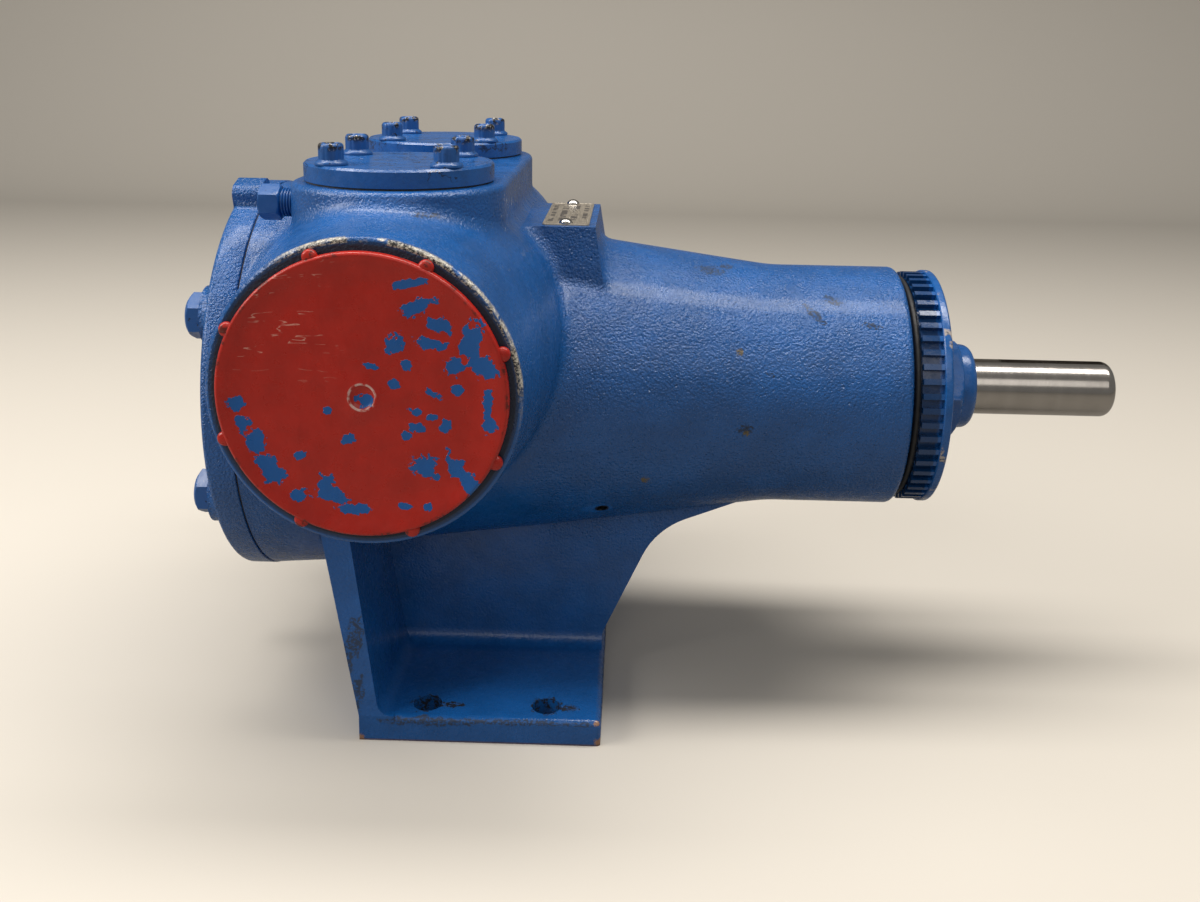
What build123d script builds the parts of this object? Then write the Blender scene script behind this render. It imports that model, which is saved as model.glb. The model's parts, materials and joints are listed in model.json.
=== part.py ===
from build123d import *
import os
from math import cos, pi, radians, sin, sqrt

# Internal gear pump on a cast foot, in millimetres.
# The shaft runs along X with its keyed end at +X, the two pipe ports face -Y (front) and +Y (rear).
# The origin is the centre of the foot's four bolt holes, on the surface that the foot stands on.
# Places along the shaft are counted from the centre line of the ports.

# Where the pump stands
shaft_height = 152.4
port_line_x = -40.3

# Running, sliding and press clearances
shaft_clearance = 0.05
running_gap = 0.3
seat_gap = 0.02
thread_gap = 0.1
hole_spare_depth = 1.0

# Foot
foot_start = -19.0
foot_length = 114.3
foot_width = 203.2
foot_thickness = 12.7
foot_corner = 2.0
foot_edge = 3.0
foot_hole_spacing_x = 57.15
foot_hole_margin = 12.7
foot_hole_r = 6.9
foot_fillet = 7.0
web_thickness = 50.0
web_end_margin = 1.5
web_end_rise = 6.0
web_end_r = 12.0
web_throat_at = 120.9
web_throat_drop = 73.9
web_throat_r = 40.0
web_fade_at = 172.0
web_fade_drop = 53.9
end_wall_thickness = 9.5
end_wall_top_thickness = 13.4
end_wall_lean = 17.1
end_wall_top = 105.0
end_wall_taper = 13.0

# Pump body and bearing barrel
body_start = -72.0
flange_r = 99.0
flange_end = -40.0
flange_end_r = 97.0
flange_edge = 4.0
flange_root = 6.0
cone_start = -33.0
cone_start_r = 88.5
cone_bend_at = 70.0
cone_bend_r = 76.0
cone_blend = 200.0
blank_allowance = 60.0
barrel_start = 176.0
barrel_blend = 90.0
barrel_end = 240.1
barrel_r = 61.2
barrel_edge = 3.0
weep_hole_at = 93.0
weep_hole_r = 2.6
weep_hole_angle = 47.0

# Rotor chamber and the passages behind it
chamber_r = 66.0
chamber_floor = 36.0
seal_bore_r = 27.0
seal_bore_end = 80.0
shaft_hole_r = 20.5
bearing_space_start = 88.0
bearing_space_r = 58.0
bearing_space_neck_r = 45.0
bearing_space_neck_at = 166.0
housing_bore_start = 176.0
housing_bore_r = 50.0

# Pipe ports
port_rise = 33.7
port_face_y = 153.0
port_face_r = 63.2
port_root_r = 73.7
port_root_y = 70.0
port_blend = 8.0
port_lip = 1.6
port_thread_r = 43.5
port_thread_depth = 34.0
port_passage_r = 38.0
port_passage_end_y = 46.0

# Valve block on top, with a round cover over each port passage
block_r = 48.2
block_top = 109.2
block_root = 30.0
block_edge = 3.0
block_blend = 8.0
cover_spacing = 132.8
cover_r = 42.3
cover_thickness = 7.9
cover_edge = 1.0
cover_gasket = 0.8
valve_bore_r = 23.0
cover_screw_spacing = 49.6
cover_screw_r = 4.76
cover_screw_length = 26.0
screw_flange_r = 7.1
screw_flange_height = 2.4
screw_flange_slope = 12.0
screw_head_height = 9.4
screw_point_r = 5.5

# Gauge port plugs
plug_rise = 98.0
plug_thread_r = 6.7
plug_depth = 10.0
plug_stand_out = 7.1
plug_hex_flats = 14.3
plug_hex_height = 8.5

# Nameplate pad, nameplate and its drive screws
pad_start = 52.0
pad_end = 87.5
pad_length = 83.0
pad_top = 85.6
pad_draft = 9.0
pad_depth = 40.0
pad_blend = 7.0
plate_start = 61.8
plate_width = 22.5
plate_length = 76.0
plate_thickness = 0.8
drive_screw_spacing = 70.0
drive_screw_head_r = 3.4
drive_screw_head_height = 2.4
drive_screw_rim = 0.3
drive_screw_shank_r = 1.6
drive_screw_length = 8.0

# Pump head with its crescent and bolts
head_r = 99.4
head_start = -86.4
head_gasket = 0.8
gasket_margin = 0.8
head_spigot_depth = 3.0
head_boss_r = 50.0
head_boss_rise = 9.0
head_boss_edge = 8.0
head_dome_r = 70.0
head_dome_blend = 6.0
head_edge = 2.5
head_joint_edge = 0.6
machined_edge = 0.3
spigot_edge = 0.4
head_bolt_count = 6
head_bolt_circle_r = 84.5
head_bolt_phase = 27.5
head_bolt_r = 6.35
head_bolt_length = 36.0
head_bolt_flats = 19.05
head_bolt_head = 8.2
head_bolt_boss_r = 14.0
head_bolt_boss_rise = 2.9
lug_angle = 107.0
lug_reach = 107.5
lug_width = 17.0
lug_corner = 5.0

# Gears
rotor_teeth = 11
idler_teeth = 8
gear_module = 10.0
rotor_tip_r = 49.0
rotor_tip_half = 1.8
rotor_rim_half = 14.0
rotor_web = 18.0
idler_tip_r = 50.0
idler_root_r = 33.4
idler_root_half = 8.5
idler_pitch_half = 6.2
idler_tip_half = 3.5
idler_bush_r = 19.0
idler_pin_r = 13.0
idler_pin_edge = 1.0
idler_tooth_root_depth = 6.0
tip_gap = 0.4

# Shaft
shaft_r = 14.2875
shaft_end = 354.3
shaft_end_chamfer = 5.0
shaft_seal_r = 15.875
shaft_seal_end = 272.5
shaft_nose_r = 14.6
shaft_nose_end = 282.2
shaft_nut_r = 16.5
shaft_nut_end = 243.0
bearing_seat_r = 17.5
shaft_body_r = 19.05
key_width = 6.35
key_depth = 3.2
key_end = 349.5
key_length = 47.0

# Mechanical seal
seal_seat_thickness = 7.0
seal_seat_hole_r = 20.0
seal_ring_thickness = 6.0
seal_ring_r = 24.5
seal_collar_thickness = 3.5
spring_wire_r = 1.1
spring_turns = 3
bushing_length = 20.0
bushing_flange_gap = 0.8

# Bearing in its threaded housing
bearing_start = 192.0
bearing_width = 21.0
bearing_r = 40.0
inner_race_r = 24.0
outer_race_r = 33.5
ball_r = 6.6
ball_count = 8
cage_width = 15.0
cage_inner_r = 26.8
cage_outer_r = 30.7
housing_start = 183.0
housing_lip_bore_r = 30.0
housing_neck_r = 54.2
housing_mouth = 0.8
housing_stand_off = 0.5
ring_start = 244.7
ring_end = 254.7
ring_lip = 4.8
ring_slots = 52
slot_width = 4.3
slot_depth = 3.0
o_ring_r = 1.4
washer_thickness = 1.5
washer_r = 24.0
washer_tab_r = 27.0
washer_tab_overlap = 1.0
washer_tab_width = 6.0
nut_thickness = 11.0
nut_r = 25.5
nut_slots = 4
nut_slot_width = 7.0
nut_slot_depth = 3.0

# End cap with its hexagon and the shaft lip seals
cap_plate_overhang = 0.9
cap_plate_end = 258.8
cap_plate_edge = 1.2
cap_plate_rear_edge = 0.5
cap_hex_corner_r = 26.7
cap_hex_end = 274.3
cap_nose_r = 22.0
cap_nose_edge = 6.0
cap_hex_overlap = 1.0
cap_nose_end = 281.6
cap_nose_bore_r = 15.0
cap_spigot_bore_r = 31.0
lip_seal_r = 20.5
lip_seal_start = 262.0
lip_seal_bore_start = 256.0
lip_seal_width = 9.0
inner_seal_r = 29.9
inner_seal_start = 183.5
inner_seal_width = 6.5

# Plastic port caps
port_cap_r = 58.4
port_cap_plate = 2.4
port_cap_bead = 1.5
port_cap_bead_width = 3.6
port_cap_bead_inset = 0.4
port_cap_bead_slope = 35.0
port_cap_stand_off = 0.3
port_cap_wall = 2.0
port_cap_depth = 16.0
port_cap_nubs = 8
port_cap_nub_r = 3.2
port_cap_nub_circle_r = 58.9
port_cap_nub_phase = 18.5
port_cap_dimple_r = 5.0
port_cap_dimple_depth = 1.2
port_cap_dimple_slope = 30.0

# Sizes that follow from the ones above
gear_offset = gear_module * (rotor_teeth - idler_teeth) / 2
rotor_r = chamber_r - running_gap
rotor_end = chamber_floor - running_gap
rotor_face = rotor_end - rotor_web
head_joint = body_start - head_gasket
head_face = body_start + head_spigot_depth
teeth_start = head_face + running_gap
port_z = shaft_height + port_rise
block_z = shaft_height + block_top
cover_z = block_z + cover_gasket
head_bolt_seat = head_start - head_bolt_boss_rise
ring_r = housing_neck_r + ring_lip
cap_plate_r = ring_r + cap_plate_overhang
foot_hole_spacing_y = foot_width - 2 * foot_hole_margin
foot_end = foot_start + foot_length
foot_middle_x = port_line_x + (foot_start + foot_end) / 2
blank_start = body_start - blank_allowance
blank_r = flange_r + blank_allowance * (flange_r - flange_end_r) / (flange_end - body_start)
end_wall_inside = foot_start + end_wall_thickness
end_wall_middle = foot_start + end_wall_thickness / 2 - end_wall_lean
plate_middle = plate_start + plate_width / 2
pad_z = shaft_height + pad_top

shaft_line = Axis((port_line_x, 0, shaft_height), (1, 0, 0))
port_axis = Axis((port_line_x, 0, port_z), (0, 1, 0))
turning_plane = Plane(origin=(port_line_x, 0, shaft_height), x_dir=(1, 0, 0), z_dir=(0, -1, 0))
port_turning_plane = Plane(origin=(port_line_x, 0, port_z), x_dir=(0, 1, 0), z_dir=(1, 0, 0))
side_plane = Plane(origin=(port_line_x, 0, 0), x_dir=(1, 0, 0), z_dir=(0, -1, 0))
os.makedirs("parts", exist_ok=True)


def across(distance, middle_z=shaft_height):
    """Plane square to the shaft, its X along +Y and its Y upwards."""
    return Plane(origin=(port_line_x + distance, 0, middle_z), x_dir=(0, 1, 0), z_dir=(1, 0, 0))


def ring(start, end, inner_r, outer_r, middle_z=shaft_height, mode=Mode.ADD):
    """A round slice about the shaft, or about a line parallel to it."""
    with BuildSketch(across(start, middle_z)) as face:
        Circle(outer_r)
        if inner_r > 0:
            Circle(inner_r, mode=Mode.SUBTRACT)
    extrude(face.sketch, amount=end - start, mode=mode)


def turned(points, axis=shaft_line, plane=turning_plane, mode=Mode.ADD):
    """A closed profile, given as (place along the axis, radius), turned about that axis."""
    with BuildSketch(plane) as face:
        with BuildLine():
            Polyline(*points, close=True)
        make_face()
    revolve(face.sketch, axis=axis, mode=mode)


def save(piece, name):
    """Label a finished piece and write it as its own file."""
    piece.part.label = name
    export_step(piece.part, "parts/" + name + ".step")


# Foot of the casting: the plate, the leaning end wall at its head end, and the web between them

with BuildPart() as end_wall:
    with BuildSketch(side_plane) as wall_side:
        with BuildLine():
            wall_outline = FilletPolyline(
                (foot_start, 0),
                (end_wall_inside + foot_fillet, 0),
                (end_wall_inside + foot_fillet, foot_thickness),
                (end_wall_inside, foot_thickness),
                (end_wall_middle + end_wall_top_thickness / 2, end_wall_top),
                (end_wall_middle - end_wall_top_thickness / 2, end_wall_top),
                (foot_start, foot_thickness),
                radius=[0, 0, foot_fillet, 0, 0],
            )
            Line(wall_outline @ 1, wall_outline @ 0)
        make_face()
    extrude(wall_side.sketch, amount=foot_width / 2, both=True)
    with BuildSketch(across(0, 0)) as wall_front:
        with BuildLine():
            Polyline(
                (-foot_width / 2, 0),
                (foot_width / 2, 0),
                (foot_width / 2, foot_thickness),
                (foot_width / 2 - end_wall_taper, end_wall_top),
                (end_wall_taper - foot_width / 2, end_wall_top),
                (-foot_width / 2, foot_thickness),
                close=True,
            )
        make_face()
    extrude(wall_front.sketch, amount=foot_length, both=True, mode=Mode.INTERSECT)

with BuildPart() as web:
    # Side view: a vertical end over the foot, then a curved throat that fades into the barrel
    with BuildSketch(side_plane) as web_side:
        with BuildLine():
            throat = FilletPolyline(
                (foot_start + end_wall_thickness / 2, foot_thickness / 2),
                (foot_end - web_end_margin, foot_thickness / 2),
                (foot_end - web_end_margin, foot_thickness + web_end_rise),
                (web_throat_at, shaft_height - web_throat_drop),
                (web_fade_at, shaft_height - web_fade_drop),
                (web_fade_at, shaft_height - bearing_space_neck_r),
                radius=[0, web_end_r, web_throat_r, 1.0],
            )
            top_corner = (cone_start, shaft_height - bearing_space_neck_r)
            Line(throat @ 1, top_corner)
            Line(top_corner, throat @ 0)
        make_face()
    web_flare = web_thickness / 2 + foot_fillet
    extrude(web_side.sketch, amount=web_flare, both=True)
    # End view: straight sides that flare out onto the foot plate
    with BuildSketch(across(foot_start, 0)) as web_front:
        with BuildLine():
            web_sides = FilletPolyline(
                (-web_thickness / 2, shaft_height),
                (-web_thickness / 2, foot_thickness),
                (-web_flare, foot_thickness),
                (-web_flare, 0),
                (web_flare, 0),
                (web_flare, foot_thickness),
                (web_thickness / 2, foot_thickness),
                (web_thickness / 2, shaft_height),
                radius=[foot_fillet, 0, 0, 0, 0, foot_fillet],
            )
            Line(web_sides @ 1, web_sides @ 0)
        make_face()
    extrude(web_front.sketch, amount=barrel_end - foot_start, mode=Mode.INTERSECT)

with BuildPart() as foot_plate:
    with BuildSketch() as foot_plan:
        with Locations((foot_middle_x, 0)):
            RectangleRounded(foot_length, foot_width, foot_corner)
    extrude(foot_plan.sketch, amount=foot_thickness)
    top_edges = foot_plate.faces().sort_by(Axis.Z)[-1].edges()
    fillet(top_edges.sort_by(Axis.X)[1:], foot_edge)

# One casting: pump body, two ports, valve block, nameplate pad, bearing barrel and foot

with BuildPart() as casing:
    # Bolting flange, cone and barrel are one turned form, made overlong and faced off further down
    with BuildSketch(turning_plane) as body_profile:
        with BuildLine():
            outline = FilletPolyline(
                (blank_start, 0),
                (blank_start, blank_r),
                (flange_end, flange_end_r),
                (cone_start, cone_start_r),
                (cone_bend_at, cone_bend_r),
                (barrel_start, barrel_r),
                (barrel_end, barrel_r),
                (barrel_end, 0),
                radius=[0, flange_edge, flange_root, cone_blend, barrel_blend, barrel_edge],
            )
            Line(outline @ 1, outline @ 0)
        make_face()
    revolve(body_profile.sketch, axis=shaft_line)

    # Both port necks, conical towards the body and blended into it
    turned(
        [
            (-port_face_y, 0),
            (-port_face_y, port_face_r),
            (-port_root_y, port_root_r),
            (port_root_y, port_root_r),
            (port_face_y, port_face_r),
            (port_face_y, 0),
        ],
        axis=port_axis,
        plane=port_turning_plane,
    )
    neck_roots = [
        edge
        for edge in casing.edges(Select.NEW)
        if edge.geom_type not in (GeomType.CIRCLE, GeomType.LINE)
    ]
    fillet(neck_roots, port_blend)

    # Valve block, a long round-ended form lying across the shaft
    with BuildSketch(Plane.XY.offset(shaft_height + block_root)) as block_plan:
        with Locations((port_line_x, 0)):
            SlotCenterToCenter(cover_spacing, 2 * block_r, rotation=90)
    extrude(block_plan.sketch, amount=block_top - block_root)
    fillet(casing.edges(Select.NEW), block_blend)
    block_face = casing.faces().sort_by(Axis.Z)[-1]
    fillet(block_face.outer_wire().edges(), block_edge)

    # Nameplate pad, wider towards its root
    with BuildSketch(Plane.XY.offset(shaft_height + pad_top)) as pad_plan:
        with Locations((port_line_x + (pad_start + pad_end) / 2, 0)):
            Rectangle(pad_end - pad_start, pad_length)
    extrude(pad_plan.sketch, amount=-pad_depth, taper=-pad_draft)
    pad_roots = [edge for edge in casing.edges(Select.NEW) if edge.geom_type != GeomType.LINE]
    fillet(pad_roots, pad_blend)

    # Face the casting off at the head joint
    ring(blank_start, body_start, 0, blank_r + flange_edge, mode=Mode.SUBTRACT)
    fillet(casing.edges().filter_by(GeomType.CIRCLE).sort_by(Axis.Y)[0], port_lip)
    fillet(casing.edges().filter_by(GeomType.CIRCLE).sort_by(Axis.Y)[-1], port_lip)

    add(foot_plate.part)
    add(end_wall.part)
    add(web.part)

    # Rotor chamber, seal bore, shaft hole and bearing space
    ring(body_start, chamber_floor, 0, chamber_r, mode=Mode.SUBTRACT)
    ring(chamber_floor, seal_bore_end, 0, seal_bore_r, mode=Mode.SUBTRACT)
    ring(seal_bore_end, bearing_space_start, 0, shaft_hole_r, mode=Mode.SUBTRACT)
    turned(
        [
            (bearing_space_start, 0),
            (bearing_space_start, bearing_space_r),
            (bearing_space_neck_at, bearing_space_neck_r),
            (housing_bore_start, bearing_space_neck_r),
            (housing_bore_start, housing_bore_r),
            (barrel_end, housing_bore_r),
            (barrel_end, 0),
        ],
        mode=Mode.SUBTRACT,
    )

    # Port bores, their passages to the chamber, valve bores, gauge holes and cover screw holes
    for side in (-1, 1):
        port_plane = Plane(origin=(port_line_x, side * port_face_y, port_z), z_dir=(0, -side, 0))
        with BuildSketch(port_plane) as bore:
            Circle(port_thread_r)
        extrude(bore.sketch, amount=port_thread_depth, mode=Mode.SUBTRACT)
        with BuildSketch(port_plane) as passage:
            Circle(port_passage_r)
        extrude(passage.sketch, amount=port_face_y - port_passage_end_y, mode=Mode.SUBTRACT)
        with BuildSketch(Plane.XY.offset(block_z)) as valve_bore:
            with Locations((port_line_x, side * cover_spacing / 2)):
                Circle(valve_bore_r)
        extrude(valve_bore.sketch, amount=-(block_top - port_rise), mode=Mode.SUBTRACT)
        gauge_plane = Plane(
            origin=(port_line_x - block_r, side * cover_spacing / 2, shaft_height + plug_rise),
            z_dir=(1, 0, 0),
        )
        with BuildSketch(gauge_plane) as gauge_hole:
            Circle(plug_thread_r + thread_gap)
        extrude(gauge_hole.sketch, amount=block_r - valve_bore_r / 2, mode=Mode.SUBTRACT)
        with BuildSketch(Plane.XY.offset(block_z)) as screw_holes:
            with Locations((port_line_x, side * cover_spacing / 2)):
                with GridLocations(cover_screw_spacing, cover_screw_spacing, 2, 2):
                    Circle(cover_screw_r + thread_gap)
        screw_reach = cover_screw_length - cover_thickness - cover_gasket + hole_spare_depth
        extrude(screw_holes.sketch, amount=-screw_reach, mode=Mode.SUBTRACT)

    # Tapped holes for the head, through holes in the foot, and the weep hole under the cone
    with BuildSketch(across(body_start)) as head_holes:
        with PolarLocations(head_bolt_circle_r, head_bolt_count, start_angle=head_bolt_phase):
            Circle(head_bolt_r + thread_gap)
    head_bolt_reach = head_bolt_length + head_bolt_seat - body_start + hole_spare_depth
    extrude(head_holes.sketch, amount=head_bolt_reach, mode=Mode.SUBTRACT)
    with BuildSketch() as foot_holes:
        with GridLocations(foot_hole_spacing_x, foot_hole_spacing_y, 2, 2):
            Circle(foot_hole_r)
    extrude(foot_holes.sketch, amount=foot_thickness, mode=Mode.SUBTRACT)
    with BuildSketch(Plane.XY.offset(pad_z)) as drive_holes:
        with Locations((port_line_x + plate_middle, 0)):
            with GridLocations(0, drive_screw_spacing, 1, 2):
                Circle(drive_screw_shank_r + thread_gap)
    extrude(drive_holes.sketch, amount=-drive_screw_length, mode=Mode.SUBTRACT)
    weep_dir = (0, -cos(radians(weep_hole_angle)), -sin(radians(weep_hole_angle)))
    with BuildSketch(Plane(origin=(port_line_x + weep_hole_at, 0, shaft_height), z_dir=weep_dir)) as weep:
        Circle(weep_hole_r)
    extrude(weep.sketch, amount=flange_r, mode=Mode.SUBTRACT)
save(casing, "casing")

# Head plate: rim, spigot, cast dome, bolt bosses, lifting lug and the crescent between the gears

with BuildPart() as head:
    with BuildSketch(turning_plane) as head_profile:
        with BuildLine():
            head_outline = FilletPolyline(
                (head_face, 0),
                (head_face, chamber_r - shaft_clearance),
                (head_joint, chamber_r - shaft_clearance),
                (head_joint, head_r),
                (head_start, head_r),
                (head_start, head_dome_r),
                (head_start - head_boss_rise, head_boss_r),
                (head_start - head_boss_rise, 0),
                radius=[
                    spigot_edge,
                    spigot_edge,
                    head_joint_edge,
                    head_edge,
                    head_dome_blend,
                    head_boss_edge,
                ],
            )
            Line(head_outline @ 1, head_outline @ 0)
        make_face()
    revolve(head_profile.sketch, axis=shaft_line)
    with BuildSketch(across(head_bolt_seat)) as bosses:
        with PolarLocations(head_bolt_circle_r, head_bolt_count, start_angle=head_bolt_phase):
            Circle(head_bolt_boss_r)
    extrude(bosses.sketch, amount=head_joint - head_bolt_seat - head_gasket)
    with BuildSketch(across(head_start)) as lug:
        with Locations(Rotation(0, 0, lug_angle)):
            with Locations((lug_reach - lug_width / 2, 0)):
                RectangleRounded(lug_width, lug_width, lug_corner)
    extrude(lug.sketch, amount=head_joint - head_start)
    with BuildSketch(across(head_face)) as crescent:
        Circle(rotor_tip_r - running_gap)
        with Locations((0, gear_offset)):
            Circle(idler_tip_r + running_gap, mode=Mode.SUBTRACT)
        with Locations((0, rotor_tip_r)):
            Rectangle(2 * rotor_tip_r, 2 * rotor_tip_r + gear_offset, mode=Mode.SUBTRACT)
    extrude(crescent.sketch, amount=rotor_face - running_gap - head_face)
    with BuildSketch(across(head_face, shaft_height + gear_offset)) as pin_hole:
        Circle(idler_pin_r)
    extrude(pin_hole.sketch, amount=-(head_face - head_start), mode=Mode.SUBTRACT)
    with BuildSketch(across(head_bolt_seat)) as bolt_holes:
        with PolarLocations(head_bolt_circle_r, head_bolt_count, start_angle=head_bolt_phase):
            Circle(head_bolt_r + thread_gap)
    extrude(bolt_holes.sketch, amount=head_joint - head_bolt_seat, mode=Mode.SUBTRACT)
save(head, "head")

with BuildPart() as gasket:
    ring(head_joint, body_start, chamber_r + gasket_margin, flange_r - gasket_margin)
    with BuildSketch(across(head_joint)) as gasket_holes:
        with PolarLocations(head_bolt_circle_r, head_bolt_count, start_angle=head_bolt_phase):
            Circle(head_bolt_r + thread_gap)
    extrude(gasket_holes.sketch, amount=head_gasket, mode=Mode.SUBTRACT)
save(gasket, "head_gasket")

with BuildPart() as head_bolts:
    for turn in range(head_bolt_count):
        angle = radians(head_bolt_phase + turn * 360 / head_bolt_count)
        seat = Plane(
            origin=(
                port_line_x + head_bolt_seat,
                head_bolt_circle_r * cos(angle),
                shaft_height + head_bolt_circle_r * sin(angle),
            ),
            x_dir=(0, 1, 0),
            z_dir=(1, 0, 0),
        )
        with BuildSketch(seat) as shank:
            Circle(head_bolt_r)
        extrude(shank.sketch, amount=head_bolt_length)
        with BuildSketch(seat) as bolt_head:
            RegularPolygon(radius=head_bolt_flats / sqrt(3), side_count=6, rotation=30)
        extrude(bolt_head.sketch, amount=-head_bolt_head)
save(head_bolts, "head_cap_screws")

# Idler pin, pressed into the head on its own line above the shaft line

gear_end = rotor_face - running_gap
with BuildPart() as idler_pin:
    pin_z = shaft_height + gear_offset
    ring(head_start, gear_end - tip_gap, 0, idler_pin_r, middle_z=pin_z)
    chamfer(idler_pin.edges().filter_by(GeomType.CIRCLE).sort_by(Axis.X)[-1], idler_pin_edge)
save(idler_pin, "idler_pin")


def half_tooth(inner_r, inner_half, outer_r, outer_half):
    """Corner points of one flank of a tooth that stands along +X of its sketch."""
    inner = (sqrt(inner_r**2 - inner_half**2), inner_half)
    outer = (sqrt(outer_r**2 - outer_half**2), outer_half)
    return inner, outer


# Idler gear with its pressed bush

with BuildPart() as idler_gear:
    ring(teeth_start, gear_end, 0, idler_root_r, middle_z=pin_z)
    pitch_r = gear_module * idler_teeth / 2
    root, pitch = half_tooth(idler_root_r, idler_root_half, pitch_r, idler_pitch_half)
    tip = half_tooth(pitch_r, idler_pitch_half, idler_tip_r, idler_tip_half)[1]
    with BuildSketch(across(teeth_start, pin_z)) as idler_tooth:
        with PolarLocations(0, idler_teeth, start_angle=90 + 180 / idler_teeth):
            with BuildLine():
                Polyline((root[0], -root[1]), (pitch[0], -pitch[1]), (tip[0], -tip[1]))
                ThreePointArc((tip[0], -tip[1]), (idler_tip_r, 0), tip)
                Polyline(tip, pitch, root)
                Line(root, (idler_root_r - idler_tooth_root_depth, 0))
                Line((idler_root_r - idler_tooth_root_depth, 0), (root[0], -root[1]))
            make_face()
    extrude(idler_tooth.sketch, amount=gear_end - teeth_start)
    ring(teeth_start, gear_end, 0, idler_bush_r, middle_z=pin_z, mode=Mode.SUBTRACT)
save(idler_gear, "idler_gear")

with BuildPart() as idler_bushing:
    ring(teeth_start, gear_end, idler_pin_r + shaft_clearance, idler_bush_r - seat_gap, middle_z=pin_z)
save(idler_bushing, "idler_bushing")

# Rotor: a back plate whose teeth stand forward, open between one another out to the rim

with BuildPart() as rotor:
    ring(rotor_face, rotor_end, shaft_body_r, rotor_r)
    tooth_inner, tooth_outer = half_tooth(rotor_tip_r, rotor_tip_half, rotor_r, rotor_rim_half)
    with BuildSketch(across(teeth_start)) as rotor_tooth:
        with PolarLocations(0, rotor_teeth, start_angle=90):
            with BuildLine():
                Line((tooth_inner[0], -tooth_inner[1]), (tooth_outer[0], -tooth_outer[1]))
                ThreePointArc((tooth_outer[0], -tooth_outer[1]), (rotor_r, 0), tooth_outer)
                Line(tooth_outer, tooth_inner)
                Line(tooth_inner, (tooth_inner[0], -tooth_inner[1]))
            make_face()
    extrude(rotor_tooth.sketch, amount=rotor_face - teeth_start)
save(rotor, "rotor")

# Shaft, largest at the rotor so that it can be drawn in from the head end

with BuildPart() as shaft:
    turned(
        [
            (rotor_face, 0),
            (rotor_face, shaft_body_r - seat_gap),
            (bearing_start, shaft_body_r - seat_gap),
            (bearing_start, bearing_seat_r),
            (bearing_start + bearing_width, bearing_seat_r),
            (bearing_start + bearing_width, shaft_nut_r),
            (shaft_nut_end, shaft_nut_r),
            (shaft_nut_end, shaft_seal_r),
            (shaft_seal_end, shaft_seal_r),
            (shaft_seal_end, shaft_nose_r),
            (shaft_nose_end, shaft_nose_r),
            (shaft_nose_end, shaft_r),
            (shaft_end, shaft_r),
            (shaft_end, 0),
        ]
    )
    fillet(shaft.edges().filter_by(GeomType.CIRCLE).sort_by(Axis.X)[-1], shaft_end_chamfer)
    key_middle = key_end - key_length / 2
    key_floor_z = shaft_height + shaft_r - key_depth
    with BuildSketch(Plane.XY.offset(key_floor_z)) as keyway:
        with Locations((port_line_x + key_middle, 0)):
            Rectangle(key_length, key_width)
    extrude(keyway.sketch, amount=2 * key_depth, mode=Mode.SUBTRACT)
    ramp_x = port_line_x + key_end - key_length
    ramp_plane = Plane(origin=(ramp_x, 0, shaft_height + shaft_r), x_dir=(1, 0, 0), z_dir=(0, -1, 0))
    with BuildSketch(ramp_plane) as key_ramp:
        with BuildLine():
            Polyline((0, -key_depth), (0, key_depth), (-2 * key_depth, 0), close=True)
        make_face()
    extrude(key_ramp.sketch, amount=key_width / 2, both=True, mode=Mode.SUBTRACT)
save(shaft, "shaft")

# Shaft bushing in the casing wall and the mechanical seal behind it

bushing_end = chamber_floor + bushing_length
ring_face = seal_bore_end - seal_seat_thickness
ring_back = ring_face - shaft_clearance - seal_ring_thickness
collar_start = bushing_end + bushing_flange_gap
collar_end = collar_start + seal_collar_thickness

with BuildPart() as bushing:
    ring(chamber_floor, bushing_end, shaft_body_r + shaft_clearance, seal_bore_r - seat_gap)
save(bushing, "shaft_bushing")

with BuildPart() as seal_collar:
    ring(collar_start, collar_end, shaft_body_r, seal_ring_r)
save(seal_collar, "seal_drive_collar")

with BuildPart() as seal_spring:
    spring_r = (shaft_body_r + seal_ring_r) / 2
    spring_start = collar_end + spring_wire_r
    spring_travel = ring_back - collar_end - 2 * spring_wire_r
    coil_path = Helix(pitch=spring_travel / spring_turns, height=spring_travel, radius=spring_r)
    coil_path = across(spring_start).from_local_coords(coil_path)
    with BuildSketch(Plane(origin=coil_path @ 0, z_dir=coil_path % 0)) as wire:
        Circle(spring_wire_r)
    sweep(wire.sketch, path=coil_path)
save(seal_spring, "seal_spring")

with BuildPart() as seal_ring:
    ring(ring_back, ring_face - shaft_clearance, shaft_body_r, seal_ring_r)
save(seal_ring, "seal_rotating_ring")

with BuildPart() as seal_seat:
    ring(ring_face, seal_bore_end, seal_seat_hole_r, seal_bore_r - seat_gap)
save(seal_seat, "seal_stationary_seat")

# Ball bearing: two races, balls and cage about the shaft line

bearing_end = bearing_start + bearing_width
bearing_middle = bearing_start + bearing_width / 2
ball_circle_r = (inner_race_r + outer_race_r) / 2


def race(inner_r, outer_r, label):
    """One bearing race with the groove that its balls run in."""
    with BuildPart() as piece:
        ring(bearing_start, bearing_end, inner_r, outer_r)
        groove_middle = (bearing_middle, ball_circle_r)
        with BuildSketch(turning_plane) as groove:
            with Locations(groove_middle):
                Circle(ball_r + shaft_clearance)
        revolve(groove.sketch, axis=shaft_line, mode=Mode.SUBTRACT)
    save(piece, label)


race(bearing_seat_r, inner_race_r, "bearing_inner_race")
race(outer_race_r, bearing_r - seat_gap, "bearing_outer_race")


def ball_places(plane_x):
    """Middles of the balls, evenly spaced on their circle."""
    for turn in range(ball_count):
        angle = 2 * pi * turn / ball_count
        yield (plane_x, ball_circle_r * cos(angle), shaft_height + ball_circle_r * sin(angle)), angle


with BuildPart() as balls:
    for middle, angle in ball_places(port_line_x + bearing_middle):
        with Locations(middle):
            Sphere(ball_r)
save(balls, "bearing_balls")

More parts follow.
